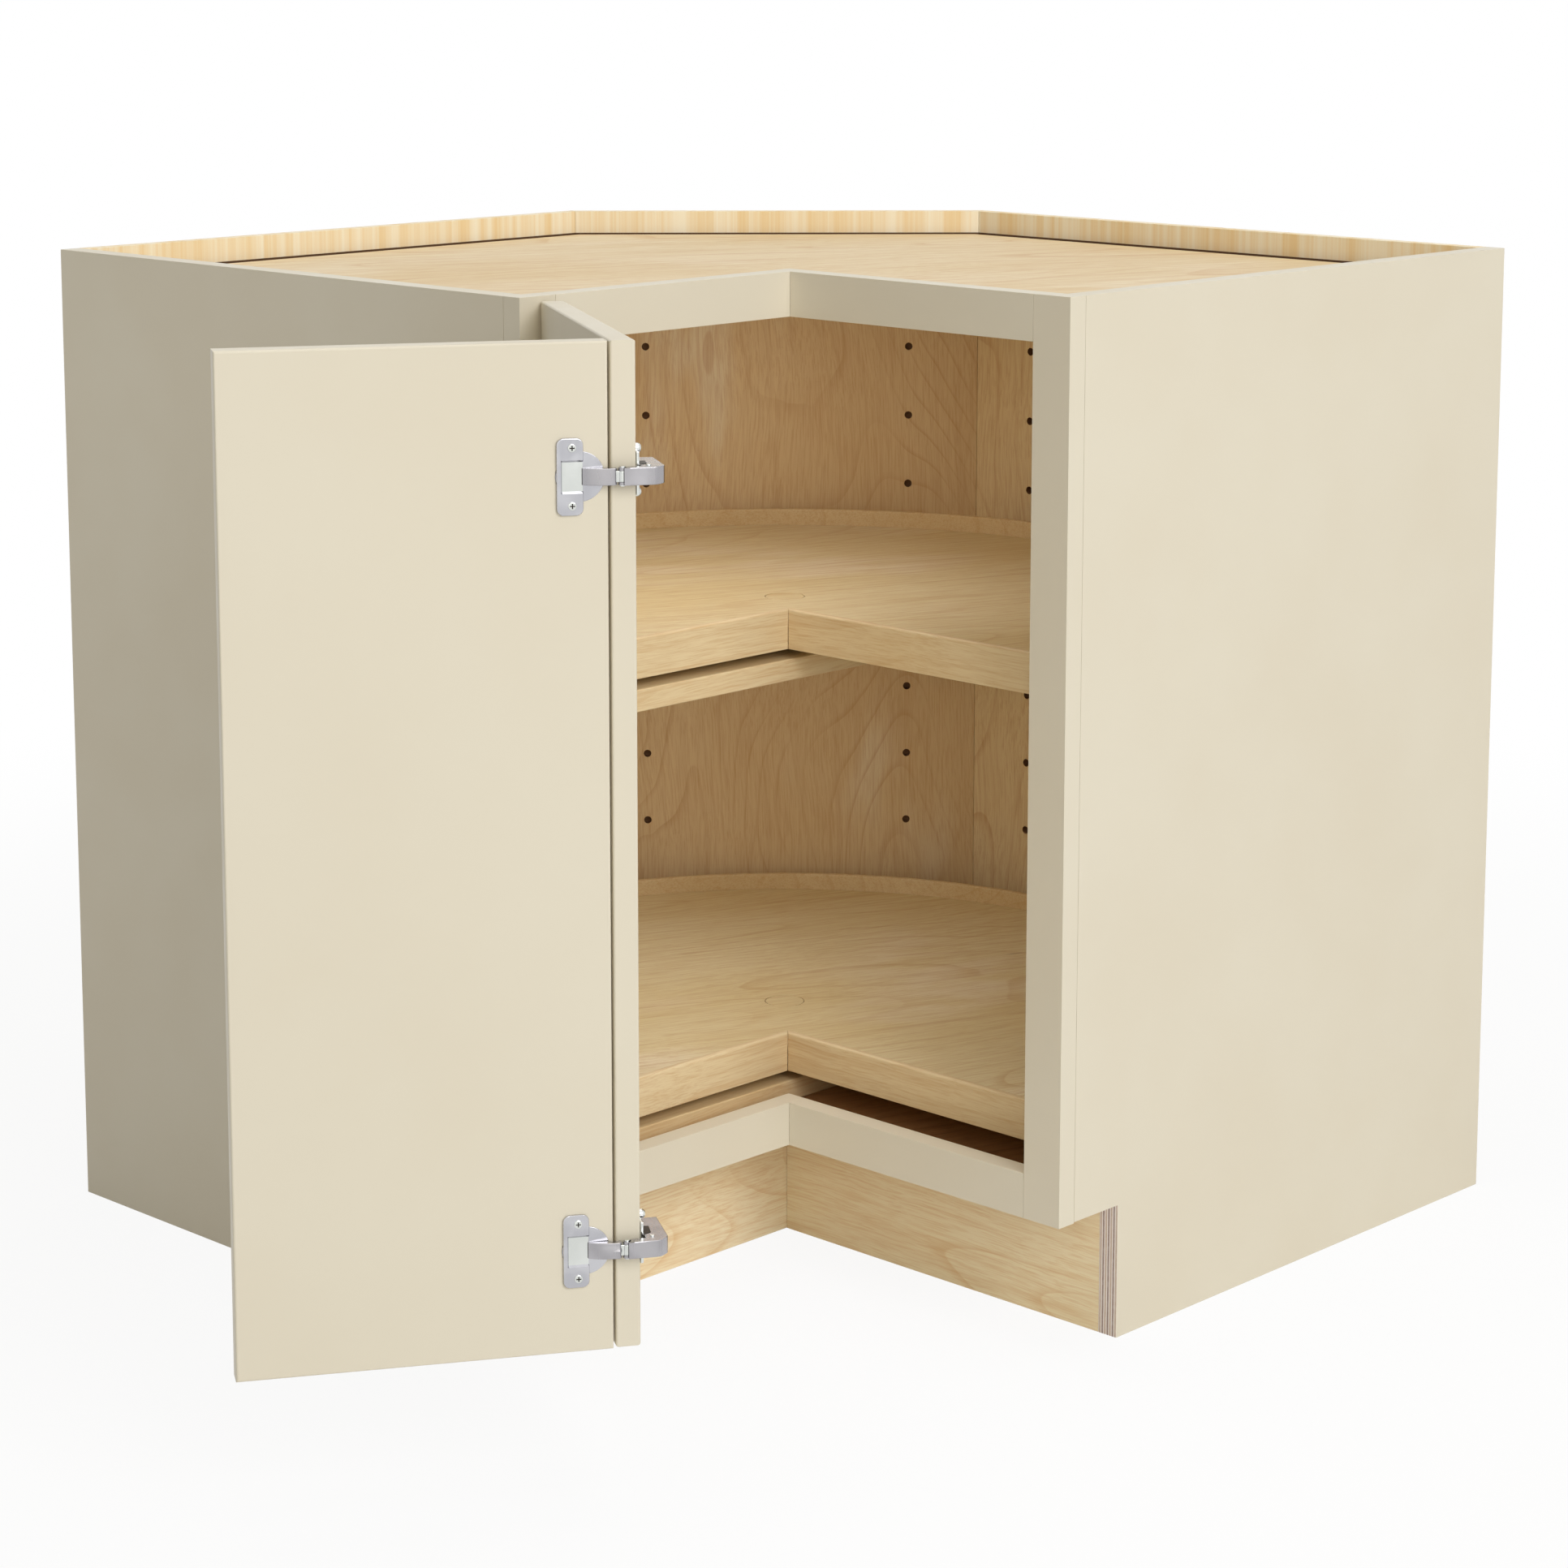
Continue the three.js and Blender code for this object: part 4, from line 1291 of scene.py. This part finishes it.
        # the bar's darker satin is partly painted shade, and the neck and knuckle take the painted
        # highlight
        looks = ((bar, Tone.SATIN, 0.6), (neck, Tone.PAINTED_HIGHLIGHT, 0.3), (knuckle, Tone.PAINTED_HIGHLIGHT, 0.5))
        for part, tone, radius in looks:
            round_edges(part, sharp(part), radius, 3)
            for face in part.faces:
                # faces past the strap's end, down by the cup, are painted dark as shade
                at_end = face.calc_center_median().x > self.strap_end
                face.material_index = (Tone.PAINTED_SHADE if at_end else tone).slot
        if self.level == "lower":
            self.press_ridge(bar)
        return join([bar, neck, knuckle])

    def press_ridge(self, bar: Mesh) -> None:
        """Press a ridge along the lower hinge's strap.

        Args:
            bar: The strap's flat bar.
        """
        for level in (-self.ridge_half, 0.0, self.ridge_half):
            split(bar, (0, 0, self.z + level), (0, 0, 1))
        back = self.pin[1]
        crest = [v for v in bar.verts if abs(v.co.z - self.z) < TOUCH and v.co.y > back]
        bmesh.ops.translate(bar, verts=crest, vec=(0, self.ridge_height, 0))

    def screws(self) -> None:
        """Replace the flange's two screws by ones with a finer cross recess."""
        under = self.face + self.flange_thickness
        low, top = around(self.z, self.screw_spacing / 2)
        for word, z in (("top", top), ("low", low)):
            spot = facing_back(self.screw_inset, under, z)
            shank = placed(solid_disc(self.shank_radius, -self.shank_length, LAP, 16), spot)
            # the heads take a lighter copy of the nickel, a painted highlight, and their recesses a
            # dark copy, painted shade
            bm = placed(join([CrossHead().at(spot), shank]), self.spot.second())
            name, node = (f"{self.level}_{kind}_screw_{word}" for kind in ("flange", "fold"))
            self.shop.finish(bm, name, self.head_steels(), "second_door", "nickel", (node,))

    def arm(self) -> None:
        """Make the arm, and round the pin and the plate behind the hung door."""
        stem = f"{self.level}_fold"
        # the pin and plate take the lighter copy of the nickel, a painted highlight
        highlight_steel = [self.steels[Tone.PAINTED_HIGHLIGHT.slot]]
        self.shop.restore(f"{stem}_pin", "turned", highlight_steel, radius=0.2)
        self.shop.restore(f"{stem}_plate", "pressed", highlight_steel, radius=0.8)
        cover = solid_prism(self.cover_plan, *around(self.z, self.lug_half))
        bm = join([self.arm_body(), cover, self.lug(1), self.lug(-1)])
        node = f"{stem}_arm"
        # the arm's satin nickel is rougher, and darker partly as painted shade
        satin = [Tone.SATIN.value.dress(f"{node}_satin")]
        placed(bm, self.spot.first())
        self.shop.finish(bm, f"{node}_pressed", satin, "first_door", "nickel", (node,), 30.0)

    def arm_body(self) -> Mesh:
        """Make the arm round the door's end, from just past the pin to its tail.

        Returns:
            The arm.
        """
        body = solid_prism(self.arm_plan, *around(self.z, self.arm_half))
        x, y = (value + TOUCH for value in self.arm_plan[-1])
        tall = [e for e in upright(sharp(body)) if e.verts[0].co.x > x and e.verts[0].co.y > y]
        round_edges(body, tall, self.arm_bend, 4)
        round_edges(body, sharp(body), self.arm_edge, 3)
        return body

    def lug(self, side: int) -> Mesh:
        """Make the arm's lug over or under the knuckle, round at the pin.

        Args:
            side: 1 for the one over the knuckle, -1 for the one under it.

        Returns:
            The lug.
        """
        low, high = sorted(self.z + side * reach for reach in (self.lug_gap, self.lug_half))
        eye = solid_disc(self.lug_radius, low, high, centre=self.arm_pin)
        return join([eye, solid_prism(self.lug_plan, low, high)])

    def arm_fittings(self) -> None:
        """Make the plate's screws, the rivets, and dark patches painted as the shade of openings in
        the arm's top and bottom.
        """
        head = CrossHead(radius=3.7, height=5.0)
        x, spacing = self.plate_screw
        under = self.face + self.plate_thickness
        parts = [head.at(facing_back(x, under, z)) for z in around(self.z, spacing / 2)]
        for level in around(self.z, self.arm_half):
            # a thin dark patch painted as the shade of the opening, and a rivet in the painted
            # highlight
            shade_patch = solid_prism(self.opening_plan, *around(level, self.opening_proud))
            for face in shade_patch.faces:
                face.material_index = 1
            low, high = around(level, self.rivet_proud)
            rivet = solid_disc(self.rivet_radius, low, high, 24, self.rivet)
            round_edges(rivet, sharp(rivet), 0.3, 2)
            parts += [shade_patch, rivet]
        bm = placed(join(parts), self.spot.first())
        name = f"{self.level}_fold_arm_fittings"
        self.shop.finish(bm, name, self.head_steels(), "first_door", "nickel")


@dataclass
class FrameHinge:
    """One hinge between the hung door and the left stile."""

    shop: Workshop
    spot: DoorSpot
    level: str
    z: float
    plate_screw: Pair = (41.0, 314.3)
    plate_screw_half: float = 16.0
    cup_screw: Pair = (26.8, 20.55)
    cup_screw_half: float = 21.0

    def build(self) -> None:
        """Round the hinge's CAD nodes, and screw its plate to the stile and its cup to the door."""
        stem = f"{self.level}_frame"
        steel = Tone.PLAIN.value.dress(f"{stem}_steel")
        # screw heads take a lighter copy of the nickel, a painted highlight, and their recesses a
        # dark copy, painted shade
        tones = (Tone.PAINTED_HIGHLIGHT, Tone.PAINTED_SHADE)
        heads = [tone.value.dress(f"{stem}_{tone.name.lower()}") for tone in tones]
        rounds = {"cup": 0.3, "plate": 0.6, "arm": 0.8, "link": 0.4, "catch": 0.4}
        for part, radius in rounds.items():
            self.shop.restore(f"{stem}_{part}", "pressed", [steel], radius)
        head = CrossHead(radius=3.4, cross=2.1)
        out = Matrix.Rotation(math.pi / 2, 4, "Y")
        on_stile = [
            Matrix.Translation((*self.plate_screw, z)) @ out
            for z in around(self.z, self.plate_screw_half)
        ]
        on_door = [facing_back(*self.cup_screw, z) for z in around(self.z, self.cup_screw_half)]
        for part, body, spots, frame in (
            ("plate", "cabinet", on_stile, row_frame()),
            ("cup", "first_door", on_door, self.spot.first()),
        ):
            bm = placed(join([head.at(spot) for spot in spots]), frame)
            self.shop.finish(bm, f"{stem}_{part}_screws", heads, body, "nickel")


@dataclass
class Doors:
    """The folding pair of slab doors with the hinges on them."""

    shop: Workshop
    hinge_heights: Pair = (774.9, 196.7)

    def build(self) -> None:
        """Paint the doors and make the hinges."""
        paint = PAINT.dress("door_satin")
        spot = DoorSpot()
        for door in ("first_door", "second_door"):
            self.shop.restore(door, "painted", [paint], radius=0.2)
        for level, z in zip(LEVELS, self.hinge_heights):
            FoldHinge(self.shop, spot, level, z).build()
            FrameHinge(self.shop, spot, level, z).build()


# ---- room, light and camera --------------------------------------------------------------------


@dataclass(frozen=True)
class SoftLamp:
    """A square soft light."""

    name: str
    place: Place
    target: Place
    size: float
    power: float
    tint: Colour = (1.0, 1.0, 1.0)

    def hang(self) -> None:
        """Make the lamp and point it."""
        light = bpy.data.lights.new(self.name, "AREA")
        light.size = self.size
        light.energy = self.power
        light.color = self.tint
        lamp = bpy.data.objects.new(self.name, light)
        lamp.location = self.place
        away = Vector(self.target) - Vector(self.place)
        lamp.rotation_euler = away.to_track_quat("-Z", "Y").to_euler()
        lamp.visible_camera = False
        bpy.context.scene.collection.objects.link(lamp)


@dataclass
class Room:
    """Pale floor, soft light from the front and above, a lamp over each tray, white surround."""

    floor_size: float = 60.0
    floor_colour: Colour = srgb(246, 246, 246)
    floor_white: Pair = (0.9, 1.0)
    floor_fade: Pair = (0.9, 2.4)
    surround: float = 0.26
    warm: Colour = (1.0, 0.965, 0.86)
    middle: Place = (0.0, 0.0, 0.45)
    over_trays: Place = (0.0, 0.11, 0.0)

    def build(self) -> None:
        """Lay the floor and set the lamps and the world."""
        self.lay_floor()
        self.set_world()
        for lamp in self.lamps():
            lamp.hang()

    def lamps(self) -> list[SoftLamp]:
        """Choose the lamps.

        Returns:
            The two inside the cabinet and the studio's three.
        """
        x, y, _ = self.over_trays
        return [
            SoftLamp("upper_tray_lamp", (x, y, 0.832), self.over_trays, 0.42, 0.72),
            SoftLamp("lower_tray_lamp", (x, y, 0.5), self.over_trays, 0.42, 0.56),
            SoftLamp("key", (-1.285, -6.046, 3.736), self.middle, 4.0, 243.0),
            SoftLamp("fill", (-4.7, -4.9, 2.0), self.middle, 4.0, 40.0, self.warm),
            SoftLamp("sky", (0.0, 0.0, 5.5), self.middle, 4.0, 104.0),
        ]

    def lay_floor(self) -> None:
        """Lay a wide pale floor that keeps the cabinet's soft shadow."""
        bm = bmesh.new()
        bmesh.ops.create_grid(bm, x_segments=1, y_segments=1, size=self.floor_size / 2)
        mesh = bpy.data.meshes.new("studio_floor")
        bm.to_mesh(mesh)
        bm.free()
        floor = bpy.data.objects.new("studio_floor", mesh)
        bpy.context.scene.collection.objects.link(floor)
        floor.data.materials.append(self.floor_material())

    def floor_material(self) -> Material:
        """Make the floor's material: matt, and mostly white to the camera.

        Returns:
            The material.
        """
        pen = Pen("studio_floor")
        matt = pen.add("BsdfDiffuse", Color=rgba(self.floor_colour)).outputs[0]
        glow = pen.add("Emission", Strength=1.0).outputs[0]
        away = pen.vector("LENGTH", pen.place()).outputs["Value"]
        share = pen.math("MULTIPLY", pen.seen(), pen.span(away, self.floor_fade, self.floor_white))
        mixed = pen.add("MixShader", in_0=share, in_1=matt, in_2=glow).outputs[0]
        pen.add("OutputMaterial", Surface=mixed)
        return pen.made

    def set_world(self) -> None:
        """Light the scene evenly and show white behind it."""
        pen = Pen("studio_surround", "worlds")
        seen = pen.seen()
        strength = pen.span(seen, (0.0, 1.0), (self.surround, 1.0))
        colour = pen.mix(seen, self.warm, (1.0, 1.0, 1.0))
        background = pen.add("Background", Color=colour, Strength=strength)
        pen.add("OutputWorld", Surface=background.outputs[0])
        bpy.context.scene.world = pen.made


@dataclass
class Viewpoint:
    """The photograph's camera, fitted to the cabinet's corners."""

    place_mm: Place = (-1957.5, -1868.6, 1173.2)
    yaw: float = 0.7669
    pitch: float = -0.1557
    roll: float = 0.0007
    focal_pixels: float = 4621.3
    image_pixels: float = 1932.0
    film: float = 36.0
    shift_y: float = -0.18

    def build(self) -> None:
        """Make the camera and use it."""
        data = bpy.data.cameras.new("photo_view")
        data.sensor_width = self.film
        data.sensor_fit = "HORIZONTAL"
        data.lens = self.focal_pixels / self.image_pixels * self.film
        data.shift_y = self.shift_y
        data.clip_end = 100.0
        camera = bpy.data.objects.new("photo_view", data)
        flat = math.cos(self.pitch)
        forward = (flat * math.cos(self.yaw), flat * math.sin(self.yaw), math.sin(self.pitch))
        turn = Vector(forward).to_track_quat("-Z", "Y").to_matrix().to_4x4()
        spin = Euler((0.0, 0.0, self.roll)).to_matrix().to_4x4()
        place = Matrix.Translation(row_frame() @ Vector(self.place_mm))
        camera.matrix_world = place @ turn @ spin
        bpy.context.scene.collection.objects.link(camera)
        bpy.context.scene.camera = camera


def main() -> None:
    """Build the cabinet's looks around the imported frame."""
    logging.basicConfig(level=logging.INFO, format="%(name)s: %(message)s")
    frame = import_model()
    record = frame["record"]
    bodies = record["behaviour"]["bodies"]
    body_of = {node: body for body, nodes in bodies.items() for node in nodes}
    slot_of = {part["node"]: part["material_slot"] for part in record["subparts"]}
    shop = Workshop(frame["nodes"], body_of, slot_of)
    Viewpoint().build()
    Room().build()
    Carcase(shop).build()
    Supports(shop).build()
    for seed, level in enumerate(LEVELS):
        Tray(shop, level, 21.5 + 3 * seed).build()
    Doors(shop).build()
    bpy.context.scene.view_settings.view_transform = "Standard"
    LOG.info("%d pieces made", shop.made)


if __name__ == "__main__":
    main()
